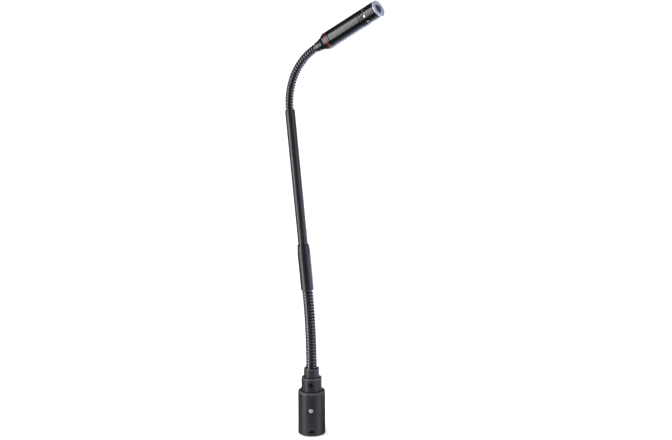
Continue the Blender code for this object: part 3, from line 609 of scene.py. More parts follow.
def coated(name, look, restFlow=False):
    # a painted or plated metal: grain, cloudiness, turning lines, worn edges, dust in corners, painted
    # shade in the coil's grooves, and handling marks
    made, tree, sockets = startMaterial(name, look.get("constants", {}))
    place = mark(tree, "restPoint").outputs["Vector"] if restFlow else addNode(
        tree, "ShaderNodeTexCoord").outputs["Object"]
    grain = useGroup(tree, coatGrain, {"Vector": place, "Scale": look["grain"]})
    station = addNode(tree, "ShaderNodeSeparateXYZ", {0: addNode(tree, "ShaderNodeUVMap",
                                                                 uv_map="surface").outputs[0]})
    lines = useGroup(tree, latheLines, {"Station": station.outputs[1], "Scale": look.get("lines", 9000.0)})
    shade = remap(tree, grain["Cloud"], 0.3, 0.7)
    base = mixColour(tree, shade, (*look["dark"], 1), (*look["light"], 1))
    edges = useGroup(tree, wearDustAndShade, {"Vector": place, "Edge": mark(tree, "edge").outputs["Fac"],
                                      "Recess": mark(tree, "recess").outputs["Fac"], "Amount": look["wear"],
                                      "Colour": base, "Worn": (*look["worn"], 1), "DustAndShade": (*look["dustAndShade"], 1)})
    touched = useGroup(tree, handling, {"Vector": place, "Roughness": look["roughness"],
                                        "Smudge": look["smudge"]})
    speckled = mixColour(tree, maths(tree, "MULTIPLY", touched["Specks"], look.get("specks", 0.05)),
                         edges["Colour"],
                         (*look["dustAndShade"], 1))
    tree.links.new(speckled, sockets["Base Color"])
    rough = maths(tree, "ADD", touched["Roughness"],
                  maths(tree, "MULTIPLY", maths(tree, "SUBTRACT", lines["Height"], 0.5), look["brush"]))
    tree.links.new(maths(tree, "ADD", rough, maths(tree, "MULTIPLY", edges["DustAndShade"], 0.4), clamp=True),
                   sockets["Roughness"])
    metal = maths(tree, "ADD", look["metal"], maths(tree, "MULTIPLY", edges["Wear"], look["wornMetal"]),
                  clamp=True)
    tree.links.new(metal, sockets["Metallic"])
    height = maths(tree, "ADD", grain["Height"], maths(tree, "MULTIPLY", lines["Height"], look["lineShare"]))
    addBump(tree, sockets, maths(tree, "SUBTRACT", height, maths(tree, "MULTIPLY", edges["Wear"], 0.3)),
            look["depth"])
    return made


charcoalLook = {"dark": (0.026, 0.026, 0.029), "light": (0.034, 0.034, 0.037), "worn": (0.3, 0.3, 0.31),
                "dustAndShade": (0.22, 0.21, 0.2), "grain": 3600.0, "roughness": 0.42, "smudge": 0.1, "wear": 0.34,
                "metal": 0.25, "wornMetal": 0.6, "brush": 0.05, "lineShare": 0.15, "depth": 0.00002,
                "constants": {"Specular IOR Level": 0.45}}
lacquerLook = {"dark": (0.0022, 0.0028, 0.0045), "light": (0.0034, 0.004, 0.006), "worn": (0.12, 0.12, 0.13),
               "dustAndShade": (0.25, 0.25, 0.27), "grain": 1500.0, "roughness": 0.27, "smudge": 0.05, "wear": 0.22,
               "metal": 0.0, "wornMetal": 0.5, "brush": 0.02, "lineShare": 0.08, "depth": 0.000002,
               "specks": 0.02,
               "constants": {"Specular IOR Level": 0.4, "Coat Weight": 0.25, "Coat Roughness": 0.12}}
# the coil's dust colour is darker than its base: through the recess mark it is painted shade in the grooves
# between turns
coilLook = {"dark": (0.006, 0.006, 0.007), "light": (0.011, 0.011, 0.012), "worn": (0.3, 0.29, 0.29),
            "dustAndShade": (0.002, 0.002, 0.002), "grain": 5200.0, "roughness": 0.2, "smudge": 0.08, "wear": 0.16,
            "metal": 0.0, "wornMetal": 0.6, "brush": 0.0, "lineShare": 0.0, "depth": 0.000004, "specks": 0.02,
            "constants": {"Specular IOR Level": 1.0, "Coat Weight": 1.0, "Coat Roughness": 0.12}}
ringLook = {"dark": (0.42, 0.47, 0.62), "light": (0.5, 0.55, 0.72), "worn": (0.78, 0.82, 0.93),
            "dustAndShade": (0.2, 0.19, 0.22), "grain": 4200.0, "roughness": 0.34, "smudge": 0.12, "wear": 0.4,
            "metal": 0.4, "wornMetal": 0.3, "brush": 0.25, "lines": 14000.0, "lineShare": 0.9,
            "depth": 0.000012}
zincLook = {"dark": (0.6, 0.58, 0.55), "light": (0.76, 0.75, 0.72), "worn": (0.9, 0.88, 0.84),
            "dustAndShade": (0.12, 0.1, 0.08), "grain": 5200.0, "roughness": 0.3, "smudge": 0.15, "wear": 0.5,
            "metal": 0.35, "wornMetal": 0.05, "brush": 0.12, "lineShare": 0.3, "depth": 0.00001}
oxideLook = {"dark": (0.012, 0.012, 0.013), "light": (0.022, 0.021, 0.02), "worn": (0.3, 0.27, 0.24),
             "dustAndShade": (0.1, 0.08, 0.06), "grain": 5200.0, "roughness": 0.38, "smudge": 0.12, "wear": 0.42,
             "metal": 0.6, "wornMetal": 0.3, "brush": 0.06, "lineShare": 0.2, "depth": 0.000012}
goldLook = {"dark": (0.66, 0.47, 0.17), "light": (0.83, 0.62, 0.27), "worn": (0.85, 0.76, 0.6),
            "dustAndShade": (0.2, 0.15, 0.1), "grain": 5200.0, "roughness": 0.22, "smudge": 0.12, "wear": 0.4,
            "metal": 1.0, "wornMetal": 0.0, "brush": 0.1, "lineShare": 0.4, "depth": 0.000008}
redLook = {"dark": (0.1, 0.006, 0.013), "light": (0.14, 0.01, 0.02), "worn": (0.4, 0.12, 0.14),
           "dustAndShade": (0.3, 0.2, 0.2), "grain": 2600.0, "roughness": 0.3, "smudge": 0.1, "wear": 0.3,
           "metal": 0.0, "wornMetal": 0.0, "brush": 0.03, "lineShare": 0.1, "depth": 0.00001,
           "constants": {"Coat Weight": 0.3, "Coat Roughness": 0.15}}
nylonLook = {"dark": (0.012, 0.012, 0.013), "light": (0.02, 0.02, 0.021), "worn": (0.06, 0.06, 0.06),
             "dustAndShade": (0.16, 0.15, 0.14), "grain": 3800.0, "roughness": 0.55, "smudge": 0.1, "wear": 0.25,
             "metal": 0.0, "wornMetal": 0.0, "brush": 0.0, "lineShare": 0.0, "depth": 0.00003}
rubberLook = {**nylonLook, "dark": (0.01, 0.01, 0.01), "light": (0.017, 0.016, 0.016), "roughness": 0.72,
              "depth": 0.00004}
cableLook = {**nylonLook, "dark": (0.011, 0.011, 0.012), "light": (0.02, 0.02, 0.022), "roughness": 0.48}
partLook = {**nylonLook, "dark": (0.02, 0.02, 0.025), "light": (0.035, 0.035, 0.04), "roughness": 0.45}

satinLook = {**lacquerLook, "dark": (0.008, 0.009, 0.011), "light": (0.011, 0.012, 0.015), "roughness": 0.38,
             "smudge": 0.08, "constants": {"Specular IOR Level": 0.6}}
# the gold pins made darker: painted shade for the inside of the connector shell
pinShadeLook = {**goldLook, "dark": (0.12, 0.1, 0.07), "light": (0.19, 0.16, 0.11), "worn": (0.3, 0.26, 0.2)}

charcoalCoat = coated("charcoalCoat", charcoalLook)
satinLacquer = coated("satinLacquer", satinLook)
# contact pin finish: gold darkened as painted shade
shadedPinPlate = coated("shadedPinPlate", pinShadeLook)
blackLacquer = coated("blackLacquer", lacquerLook)
blackCoil = coated("blackCoil", coilLook, restFlow=True)
brightRing = coated("brightRing", ringLook)
zincPlate = coated("zincPlate", zincLook)
blackOxide = coated("blackOxide", oxideLook)
goldFlash = coated("goldFlash", goldLook)
redBand = coated("redBand", redLook)
mouldedNylon = coated("mouldedNylon", nylonLook)
seatRubber = coated("seatRubber", rubberLook)
cableJacket = coated("cableJacket", cableLook)
bendingJacket = coated("bendingJacket", cableLook, restFlow=True)
mouldedPart = coated("mouldedPart", partLook)


def wovenMetal(name, wire, gap, cells, depth):
    # a gauze band: wires along and round the piece, with painted shade in the gaps between them, and a little
    # tarnish
    made, tree, sockets = startMaterial(name, {})
    place = addNode(tree, "ShaderNodeSeparateXYZ", {0: addNode(tree, "ShaderNodeUVMap",
                                                               uv_map="surface").outputs[0]})
    weave = useGroup(tree, plainWeave, {"Across": maths(tree, "MULTIPLY", place.outputs[0], cells[0]),
                                        "Along": maths(tree, "MULTIPLY", place.outputs[1], cells[1])})
    tarnish = addNode(tree, "ShaderNodeTexNoise", {"Vector": addNode(tree,
                                                                     "ShaderNodeTexCoord").outputs["Object"],
                                                   "Scale": 800.0, "Detail": 3.0})
    shade = mixColour(tree, remap(tree, tarnish.outputs[0], 0.35, 0.7), (*wire, 1),
                      (*(w * 0.72 for w in wire), 1))
    tree.links.new(mixColour(tree, weave["Wire"], (*gap, 1), shade), sockets["Base Color"])
    tree.links.new(maths(tree, "MULTIPLY", weave["Wire"], 0.75), sockets["Metallic"])
    tree.links.new(remap(tree, tarnish.outputs[0], 0.3, 0.8, 0.38, 0.55), sockets["Roughness"])
    addBump(tree, sockets, weave["Height"], depth)
    return made


def circuitBoard():
    # solder mask over square-grid tracks, with tinned pads where the tracks meet
    made, tree, sockets = startMaterial("circuitBoard", {"Coat Weight": 0.3, "Coat Roughness": 0.2})
    place = addNode(tree, "ShaderNodeTexCoord").outputs["Object"]
    bricks = addNode(tree, "ShaderNodeTexBrick", {"Vector": place, "Scale": 420.0, "Mortar Size": 0.06,
                                                  "Mortar Smooth": 0.2, "Color1": (0.006, 0.06, 0.025, 1),
                                                  "Color2": (0.008, 0.075, 0.032, 1),
                                                  "Mortar": (0.02, 0.15, 0.06, 1)})
    cells = addNode(tree, "ShaderNodeTexVoronoi", {"Vector": place, "Scale": 520.0, "Randomness": 0.6})
    pads = remap(tree, cells.outputs["Distance"], 0.2, 0.16)
    tree.links.new(mixColour(tree, pads, bricks.outputs["Color"], (0.62, 0.6, 0.56, 1)),
                   sockets["Base Color"])
    tree.links.new(pads, sockets["Metallic"])
    tree.links.new(remap(tree, pads, 0.0, 1.0, 0.42, 0.3), sockets["Roughness"])
    addBump(tree, sockets, maths(tree, "ADD", bricks.outputs["Fac"], pads), 0.00003)
    return made


def capsuleCase():
    # drawn metal case with a round of dark felt on its front, told apart by the distance along the head
    made, tree, sockets = startMaterial("capsuleCase", {})
    place = addNode(tree, "ShaderNodeTexCoord").outputs["Object"]
    front = float(span("capsule", headPlace)["high"] - 0.25 * mm)
    axis = tuple(float(v) for v in headPlace["turn"][:, 2])
    along = addNode(tree, "ShaderNodeVectorMath", {0: place, 1: axis},
                    operation="DOT_PRODUCT").outputs["Value"]
    origin = float(headPlace["origin"] @ headPlace["turn"][:, 2])
    felt = remap(tree, along, origin + front - 0.05 * mm, origin + front)
    fibres = addNode(tree, "ShaderNodeTexNoise", {"Vector": place, "Scale": 4500.0, "Detail": 5.0})
    drawn = mixColour(tree, remap(tree, fibres.outputs[0], 0.3, 0.7), (0.6, 0.6, 0.58, 1),
                      (0.72, 0.72, 0.7, 1))
    cloth = mixColour(tree, fibres.outputs[0], (0.006, 0.006, 0.007, 1), (0.03, 0.03, 0.034, 1))
    tree.links.new(mixColour(tree, felt, drawn, cloth), sockets["Base Color"])
    tree.links.new(maths(tree, "SUBTRACT", 1.0, felt), sockets["Metallic"])
    tree.links.new(remap(tree, felt, 0.0, 1.0, 0.32, 0.95), sockets["Roughness"])
    addBump(tree, sockets, fibres.outputs[0], 0.00003)
    return made


# the second colour is painted shade in the gaps between the gauze wires
portGauzeSkin = wovenMetal("portGauze", (0.9, 0.79, 0.69), (0.3, 0.25, 0.21), (110, 3600.0), 0.00005)
grilleWire = coated("grilleWire", {**zincLook, "dark": (0.3, 0.28, 0.27), "light": (0.42, 0.39, 0.37),
                                   "roughness": 0.36, "metal": 0.8})
boardSkin = circuitBoard()
capsuleSkin = capsuleCase()
print("materials built:", len(bpy.data.materials))


# Connector base

frontAngle = math.atan2(*(float(v) for v in span("insert_screw", basePlace)["middle"][[1, 0]]))
shellSize = span("connector_shell", basePlace)
screwSize = span("insert_screw", sidePlace(frontAngle, 0.0))
screwStation = float(span("insert_screw", basePlace)["middle"][2])
setStation = float(span("neck_set_screw", basePlace)["middle"][2])


def buildShell():
    size = {"bore": 7.9 * mm, "roof": 3.9 * mm, "roofHole": 5.6 * mm, "rim": 0.4 * mm, "shoulder": 1.0 * mm,
            "slotStation": 3.3 * mm, "slotHalfLength": 2.55 * mm, "slotHalfWidth": 1.05 * mm,
            "screwHole": 1.95 * mm, "lip": 0.22 * mm}
    outer, high = shellSize["radius"], shellSize["high"]
    under = high - size["roof"]
    corners = [(size["bore"], 0, size["rim"]), (outer, 0, size["rim"]), (outer, high, size["shoulder"]),
               (size["roofHole"], high, 0.15 * mm), (size["roofHole"], under, 0.15 * mm),
               (size["bore"], under, 0.3 * mm)]
    halfTurn = math.radians(20.5)
    holes = [{"angle": frontAngle, "station": size["slotStation"], "halfLength": size["slotHalfLength"],
              "halfWidth": size["slotHalfWidth"], "halfTurn": halfTurn, "halfRise": 1.75 * mm,
              "lip": size["lip"]},
             {"angle": frontAngle, "station": screwStation, "halfLength": size["screwHole"],
              "halfWidth": size["screwHole"], "halfTurn": halfTurn, "halfRise": 3.0 * mm, "lip": size["lip"]}]
    drilled("connectorShell", corners, holes, (outer, size["bore"]), basePlace, charcoalCoat,
            "base", ["connector_shell"], gap=3.6, across=18)


def buildNeckCollar():
    size = {"bore": 2.6 * mm, "spigot": 5.3 * mm, "step": 31.8 * mm, "pocket": 5.0 * mm, "floor": 33.0 * mm,
            "shoulder": 0.8 * mm, "hole": 1.9 * mm, "lip": 0.18 * mm}
    neck = span("neck_collar", basePlace)
    corners = [(size["bore"], neck["low"], 0.1 * mm), (size["spigot"], neck["low"], 0.2 * mm),
               (size["spigot"], size["step"], 0.1 * mm), (neck["radius"], size["step"], 0.15 * mm),
               (neck["radius"], neck["high"], size["shoulder"]), (size["pocket"], neck["high"], 0.15 * mm),
               (size["pocket"], size["floor"], 0.2 * mm), (size["bore"], size["floor"], 0.1 * mm)]
    holes = [{"angle": frontAngle, "station": setStation, "halfLength": size["hole"],
              "halfWidth": size["hole"],
              "halfTurn": math.radians(25), "halfRise": 2.6 * mm, "lip": size["lip"]}]
    drilled("neckCollar", corners, holes, (neck["radius"], size["pocket"]), basePlace, charcoalCoat,
            "base", ["neck_collar"], gap=4.5)


def buildFerrule():
    size = {"bore": 2.0 * mm, "stem": 4.7 * mm, "step": 41.5 * mm, "shoulder": 0.7 * mm, "pocket": 4.22 * mm,
            "pocketDepth": 4.7 * mm}
    ferrule = span("lower_ferrule", basePlace)
    low, high, radius = ferrule["low"], ferrule["high"], ferrule["radius"]
    floor = high - size["pocketDepth"]
    turned("lowerFerrule", [(size["bore"], low, 0.1 * mm), (size["stem"], low, 0.3 * mm),
                            (size["stem"], size["step"], 0.1 * mm), (radius, size["step"], 0.12 * mm),
                            (radius, high, size["shoulder"]), (size["pocket"], high, 0.15 * mm),
                            (size["pocket"], floor, 0.1 * mm), (size["bore"], floor, 0.1 * mm)],
           basePlace, charcoalCoat, "base", ["lower_ferrule"])


def crossRecess(angles, arm=0.92 * mm, halfWidth=0.2 * mm):
    # outline of a cross: out along each arm to its end, back in to the arms' corners
    turn = np.abs((angles + math.pi / 4) % (math.pi / 2) - math.pi / 4)
    return np.minimum(arm / np.maximum(np.cos(turn), 0.5), halfWidth / np.maximum(np.sin(turn), 1e-6))


def hexRecess(angles, flat=0.78 * mm):
    # outline of a hexagon from its distance to the flats
    return flat / np.cos(angles % (math.pi / 3) - math.pi / 6)


def buildScrews():
    insert = {"face": float(screwSize["high"]), "depth": 0.7 * mm, "radius": 1.45 * mm, "round": 0.25 * mm,
              "dome": 0.16 * mm, "floor": 0.55, "seat": float(screwSize["high"]) - 0.95 * mm,
              "shank": 1.0 * mm,
              "low": float(screwSize["low"])}
    recessedScrew("insertScrew", crossRecess, sidePlace(frontAngle, screwStation), insert, zincPlate,
                  "base", ["insert_screw"])
    at = sidePlace(frontAngle, setStation)
    found = span("neck_set_screw", at)
    setScrew = {"face": float(found["high"]), "depth": 0.9 * mm, "radius": float(found["radius"]),
                "round": 0.18 * mm, "dome": 0.0, "floor": 0.97, "seat": float(found["low"]) + 0.3 * mm,
                "shank": 1.3 * mm, "low": float(found["low"])}
    recessedScrew("neckSetScrew", hexRecess, at, setScrew, blackOxide, "base",
                  ["neck_set_screw"])


def buildContacts():
    size = {"radius": 1.2 * mm, "tail": 0.8 * mm, "shoulder": 23.1 * mm, "tip": 0.75 * mm}
    for number in (1, 2, 3):
        name = f"contact_pin_{number}"
        pin = span(name, basePlace)
        place = {**basePlace, "origin": np.array([pin["middle"][0], pin["middle"][1], 0.0])}
        turned(f"contactPin{number}", [(0, pin["low"]), (size["radius"], pin["low"], size["tip"]),
                                       (size["radius"], size["shoulder"], 0.1 * mm),
                                       (size["tail"], size["shoulder"], 0.05 * mm),
                                       (size["tail"], pin["high"], 0.2 * mm), (0, pin["high"])],
               place, shadedPinPlate, "base", [name], sides=48)


buildShell()
buildNeckCollar()
buildFerrule()
buildScrews()
buildContacts()
print("connector base built")


# Goosenecks: wound coils, one mesh for each hinge

lowerWinding = {"crest": 3.92 * mm, "depth": 0.85 * mm, "turn": 2.2 * mm, "bore": 2.1 * mm, "rows": 0.13 * mm,
                "sides": 64, "before": 4.4 * mm, "after": 5.0 * mm}
upperWinding = {"crest": 2.88 * mm, "depth": 0.7 * mm, "turn": 2.1 * mm, "bore": 1.3 * mm, "rows": 0.13 * mm,
                "sides": 56, "before": -0.3 * mm, "after": 2.5 * mm}


def coilPiece(name, neck, winding, low, high, ends, replaced):
    # outer wall: the radius falls from a round crest to a narrow groove that winds left-handed along the
    # neck; a plain bore inside and flat ends, where a thin last row keeps the shading even across the join
    sides = winding["sides"]
    rows = max(8, round((high - low) / winding["rows"]))
    thin = 0.01 * mm
    along = np.concatenate([[low, low + thin], np.linspace(low, high, rows + 1)[1:-1], [high - thin, high]])
    angles = np.arange(sides) * fullTurn / sides
    phase = (along[:, None] / winding["turn"] + angles[None] / fullTurn) % 1
    fall = (2 * phase - 1) ** 2
    radius = winding["crest"] - winding["depth"] * fall
    along = np.concatenate([along, along[[-1, 0]]])
    radius = np.concatenate([radius, np.full((2, sides), winding["bore"])])
    fall = np.concatenate([fall, np.ones((2, sides))])
    x, z, heading = (v[:, None] for v in neckLine(neck, along))
    out = np.cos(angles)[None] * radius
    points = np.stack([x + np.cos(heading) * out, np.sin(angles)[None] * radius, z - np.sin(heading) * out],
                      -1)
    points = points.reshape(-1, 3)
    faces, uv = gridFaces(len(along), angles, along, True)
    # the recess mark follows the groove; with the coil's dark dust colour it paints shade there
    marks = {"edge": np.clip(1 - fall * 4, 0, 1).ravel(), "recess": np.clip(fall * 2 - 1, 0, 1).ravel(),
             "restPoint": points}
    piece = makePiece(name, points, [faces.reshape(-1, 4)], [uv.reshape(-1, 4, 2)], marks, blackCoil,
                      replaced=replaced, sharp=62)
    bendBetween(piece, neck, ends)


def bendBetween(piece, neck, ends):
    # works out the neck's centre line at the middles of the piece's two end beads, taken in reverse
    # order on the upper neck, but uses none of it; the piece is put on no body and only has its
    # transform baked into the mesh
    first, second = ends[::-1] if neck is upperNeck else ends
    for number in (first, second):
        x, z, heading = neckLine(neck, np.array(number * neck["pitch"]))
    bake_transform(piece)


def buildGooseneck(prefix, label, neck, winding):
    joints = len(neck["bodies"]) - 1
    for number in range(joints):
        low = -winding["before"] if number == 0 else number * neck["pitch"]
        high = neck["length"] + winding["after"] if number == joints - 1 else (number + 1) * neck["pitch"]
        replaced = [f"{prefix}_{number}"] + ([f"{prefix}_{joints}"] if number == joints - 1 else [])
        coilPiece(f"{label}{number}", neck, winding, low, high, (number, number + 1), replaced)


def cablePiece(name, neck, number, node, radius=0.8 * mm, sides=20, rows=8):
    # a stretch of round cable jacket inside the coil, closed at both ends, curved along the neck's arc as the
    # coil is
    low, high = number * neck["pitch"], (number + 1) * neck["pitch"]
    along = np.linspace(low, high, rows + 1)
    angles = np.arange(sides) * fullTurn / sides
    x, z, heading = (v[:, None] for v in neckLine(neck, along))
    out = np.cos(angles)[None] * radius
    side = np.broadcast_to(np.sin(angles)[None] * radius, (rows + 1, sides))
    points = np.stack([x + np.cos(heading) * out, side, z - np.sin(heading) * out], -1).reshape(-1, 3)
    faces, uv = gridFaces(rows + 1, angles, along, False)
    ring = np.arange(sides)
    caps = [ring[::-1][None], (ring + rows * sides)[None]]
    capUv = [np.stack([np.cos(angles), np.sin(angles)], -1)[None] * radius] * 2
    marks = {"edge": np.zeros(len(points)), "recess": np.zeros(len(points)), "restPoint": points}
    piece = makePiece(name, points, [faces.reshape(-1, 4)] + caps, [uv.reshape(-1, 4, 2)] + capUv, marks,
                      bendingJacket, replaced=[node])
    bendBetween(piece, neck, (number, number + 1))


buildGooseneck("lower_coil", "lowerCoil", lowerNeck, lowerWinding)
buildGooseneck("upper_coil", "upperCoil", upperNeck, upperWinding)
for number in range(len(lowerNeck["bodies"]) - 1):
    cablePiece(f"lowerCable{number}", lowerNeck, number, "signal_cable_lower")
for number in range(len(upperNeck["bodies"]) - 1):
    cablePiece(f"upperCable{number}", upperNeck, number, "signal_cable_upper")
print("goosenecks built")


# Sleeve and tube

def buildSleeve():
    size = {"pocket": 4.07 * mm, "pocketDepth": 5.4 * mm, "bore": 2.0 * mm, "tip": 3.95 * mm,
            "cone": 6.0 * mm,
            "edge": 0.6 * mm, "seat": 3.49 * mm, "seatDepth": 14.3 * mm}
    sleeve = span("middle_sleeve", sleevePlace)
    high, radius = sleeve["high"], sleeve["radius"]
    turned("middleSleeve", [(size["pocket"], 0, 0.12 * mm), (radius, 0, size["edge"]),
                            (radius, high - size["cone"], 3.0 * mm), (size["tip"], high, 0.35 * mm),
                            (size["seat"], high, 0.05 * mm), (size["seat"], high - size["seatDepth"],
                                                              0.1 * mm),
                            (size["bore"], high - size["seatDepth"], 0.1 * mm),
                            (size["bore"], size["pocketDepth"], 0.1 * mm),
                            (size["pocket"], size["pocketDepth"], 0.1 * mm)],
           sleevePlace, satinLacquer, "stem", ["middle_sleeve"])


def buildTube():
    size = {"bore": 2.75 * mm, "edge": 0.3 * mm}
    tube = span("rigid_tube", tubePlace)
    turned("rigidTube", [(size["bore"], tube["low"], 0.1 * mm), (tube["radius"], tube["low"], size["edge"]),
                         (tube["radius"], tube["high"], size["edge"]),
                         (size["bore"], tube["high"], 0.1 * mm)],
           tubePlace, satinLacquer, "stem", ["rigid_tube"])


buildSleeve()
buildTube()
print("sleeve and tube built")


# Microphone head

def buildTail():
    size = {"bore": 1.3 * mm, "collarPocket": 3.03 * mm, "collarFloor": 2.8 * mm, "collarLow": 3.2 * mm,
            "nutLow": 3.95 * mm, "edge": 0.22 * mm}
    collar, nut = span("gooseneck_collar", headPlace), span("tail_nut", headPlace)
    turned("gooseneckCollar", [(size["collarPocket"], collar["low"], 0.05 * mm),
                               (size["collarLow"], collar["low"], 0.05 * mm),
                               (collar["radius"], collar["high"], size["edge"]),
                               (size["bore"], collar["high"], 0.1 * mm),
                               (size["bore"], size["collarFloor"], 0.1 * mm),
                               (size["collarPocket"], size["collarFloor"], 0.1 * mm)],
           headPlace, blackLacquer, "head", ["gooseneck_collar"], sides=80)
    turned("tailNut", [(size["bore"], nut["low"], 0.1 * mm), (size["nutLow"], nut["low"], 0.15 * mm),
                       (nut["radius"], nut["high"], size["edge"]), (size["bore"], nut["high"], 0.1 * mm)],
           headPlace, blackLacquer, "head", ["tail_nut"], sides=80)


def buildTailCap():
    size = {"bore": 1.3 * mm, "low": 4.8 * mm, "cone": 9.5 * mm, "grooveLow": 10.9 * mm,
            "grooveHigh": 12.9 * mm,
            "groove": 5.05 * mm, "spigot": 4.55 * mm, "shoulder": 14.6 * mm, "hollow": 3.6 * mm,
            "floor": 9.0 * mm, "edge": 0.12 * mm}
    cap = span("tail_cap", headPlace)
    radius, edge = cap["radius"], size["edge"]
    turned("tailCap", [(size["bore"], cap["low"], 0.1 * mm), (size["low"], cap["low"], 0.25 * mm),
                       (radius, size["cone"], 1.0 * mm), (radius, size["grooveLow"], edge),
                       (size["groove"], size["grooveLow"], 0.05 * mm),
                       (size["groove"], size["grooveHigh"], 0.05 * mm), (radius, size["grooveHigh"], edge),
                       (radius, size["shoulder"], 0.18 * mm), (size["spigot"], size["shoulder"], 0.05 * mm),
                       (size["spigot"], cap["high"], 0.2 * mm), (size["hollow"], cap["high"], 0.1 * mm),
                       (size["hollow"], size["floor"], 0.2 * mm), (size["bore"], size["floor"], 0.1 * mm)],
           headPlace, blackLacquer, "head", ["tail_cap"])
    ring = span("marker_ring", headPlace)
    inner = radius - 0.5 * mm
    turned("markerRing", [(inner, ring["low"], 0.05 * mm), (ring["radius"], ring["low"], 0.14 * mm),
                          (ring["radius"], ring["high"], 0.14 * mm), (inner, ring["high"], 0.05 * mm)],
           headPlace, redBand, "head", ["marker_ring"])


def buildBarrel():
    size = {"bore": 4.85 * mm, "web": 1.2 * mm, "hole": 2.1 * mm, "edge": 0.18 * mm}
    barrel, coupling = span("head_barrel", headPlace), span("coupling_ring", headPlace)
    radius, web = barrel["radius"], barrel["high"] - size["web"]
    turned("headBarrel", [(size["bore"], barrel["low"], 0.1 * mm), (radius, barrel["low"], size["edge"]),
                          (radius, barrel["high"], size["edge"]), (size["hole"], barrel["high"], 0.1 * mm),
                          (size["hole"], web, 0.1 * mm), (size["bore"], web, 0.3 * mm)],
           headPlace, blackLacquer, "head", ["head_barrel"])
    turned("couplingRing", [(size["hole"], coupling["low"], 0.1 * mm),
                            (radius, coupling["low"], size["edge"]),
                            (radius, coupling["high"], size["edge"]),
                            (size["hole"], coupling["high"], 0.1 * mm)],
           headPlace, blackLacquer, "head", ["coupling_ring"])


def buildElement():
    size = {"wall": 0.6 * mm, "web": 0.5 * mm, "hole": 2.1 * mm, "port": 1.2 * mm, "portStation": 46.0 * mm,
            "ports": 7, "firstPort": math.radians(11.9), "edge": 0.18 * mm, "lip": 0.14 * mm}
    housing = span("element_housing", headPlace)
    low, high, radius = housing["low"], housing["high"], housing["radius"]
    bore = radius - size["wall"]
    corners = [(size["hole"], low, 0.1 * mm), (radius, low, size["edge"]), (radius, high, size["edge"]),
               (bore, high, 0.08 * mm), (bore, low + size["web"], 0.15 * mm),
               (size["hole"], low + size["web"], 0.1 * mm)]
    holes = [{"angle": (size["firstPort"] + fullTurn * n / size["ports"]) % fullTurn,
              "station": size["portStation"],
              "halfLength": size["port"], "halfWidth": size["port"], "halfTurn": math.radians(18),
              "halfRise": 1.85 * mm, "lip": size["lip"]} for n in range(size["ports"])]
    drilled("elementHousing", corners, holes, (radius, bore), headPlace, blackLacquer, "head",
            ["element_housing"], gap=5.0, across=12, rise=12)
    gauze = span("port_gauze", headPlace)
    outer = bore - 0.12 * mm
    turned("portGauze", [(gauze["bore"], gauze["low"], 0.02 * mm), (outer, gauze["low"], 0.05 * mm),
                         (outer, gauze["high"], 0.05 * mm), (gauze["bore"], gauze["high"], 0.02 * mm)],
           headPlace, portGauzeSkin, "head", ["port_gauze"])


def buildFrontRing():
    size = {"wall": 4.95 * mm, "step": 55.0 * mm, "hole": 3.2 * mm, "seat": 1.2 * mm, "bore": 3.7 * mm,
            "outside": 0.45 * mm, "inside": 0.25 * mm}
    ring = span("front_ring", headPlace)
    seat = ring["high"] - size["seat"]
    turned("frontRing", [(size["bore"], ring["low"], 0.05 * mm), (size["wall"], ring["low"], 0.1 * mm),
                         (size["wall"], size["step"], 0.05 * mm), (ring["radius"], size["step"], 0.15 * mm),
                         (ring["radius"], ring["high"], size["outside"]),
                         (size["hole"], ring["high"], size["inside"]),
                         (size["hole"], seat, 0.05 * mm), (size["bore"], seat, 0.05 * mm)],
           headPlace, brightRing, "head", ["front_ring"])


def buildGrille():
    # woven wires: each is a tube along a straight run that rises and falls over the wires it crosses
    size = {"pitch": 0.62 * mm, "wire": 0.12 * mm, "sides": 8, "perCell": 8}
    disc = span("front_grille", headPlace)
    middle, reach = (disc["low"] + disc["high"]) / 2, disc["radius"] - size["wire"]
    count = int(reach / size["pitch"])
    turn = np.arange(size["sides"]) * fullTurn / size["sides"]
    allPoints, allFaces, allUv, total = [], [], [], 0
    for axis in (0, 1):
        for number in range(-count, count + 1):
            offset = number * size["pitch"]
            half = math.sqrt(reach ** 2 - offset ** 2)
            steps = max(6, round(2 * half / size["pitch"] * size["perCell"]))
            run = np.linspace(-half, half, steps + 1)
            side = 1 if (number + axis) % 2 else -1
            lift = np.cos(run / size["pitch"] * math.pi) * size["wire"] * 0.95 * side
            across = offset + np.cos(turn)[None] * size["wire"]
            height = middle + lift[:, None] + np.sin(turn)[None] * size["wire"] * 0.75
            lengthwise = np.broadcast_to(run[:, None], height.shape)
            across = np.broadcast_to(across, height.shape)
            pair = (lengthwise, across) if axis == 0 else (across, lengthwise)
            points = np.stack([*pair, height], -1).reshape(-1, 3)
            faces, uv = gridFaces(steps + 1, turn, run, False)
            ring = np.arange(size["sides"])
            caps = np.stack([ring[::-1], ring + steps * size["sides"]])
            if axis == 0:
                faces, caps = faces[..., ::-1], caps[:, ::-1]
            allPoints.append(points)
            allFaces += [faces.reshape(-1, 4) + total, caps + total]
            allUv += [uv.reshape(-1, 4, 2), np.zeros((2, size["sides"], 2))]
            total += len(points)
    points = toWorld(headPlace, np.concatenate(allPoints))
    marks = {"edge": np.zeros(total), "recess": np.zeros(total)}
    makePiece("frontGrille", points, allFaces, allUv, marks, grilleWire, "head",
              ["front_grille"])


buildTail()
buildTailCap()
buildBarrel()
buildElement()
buildFrontRing()
buildGrille()
print("head built")


# Pieces that keep their CAD shape and get a finish

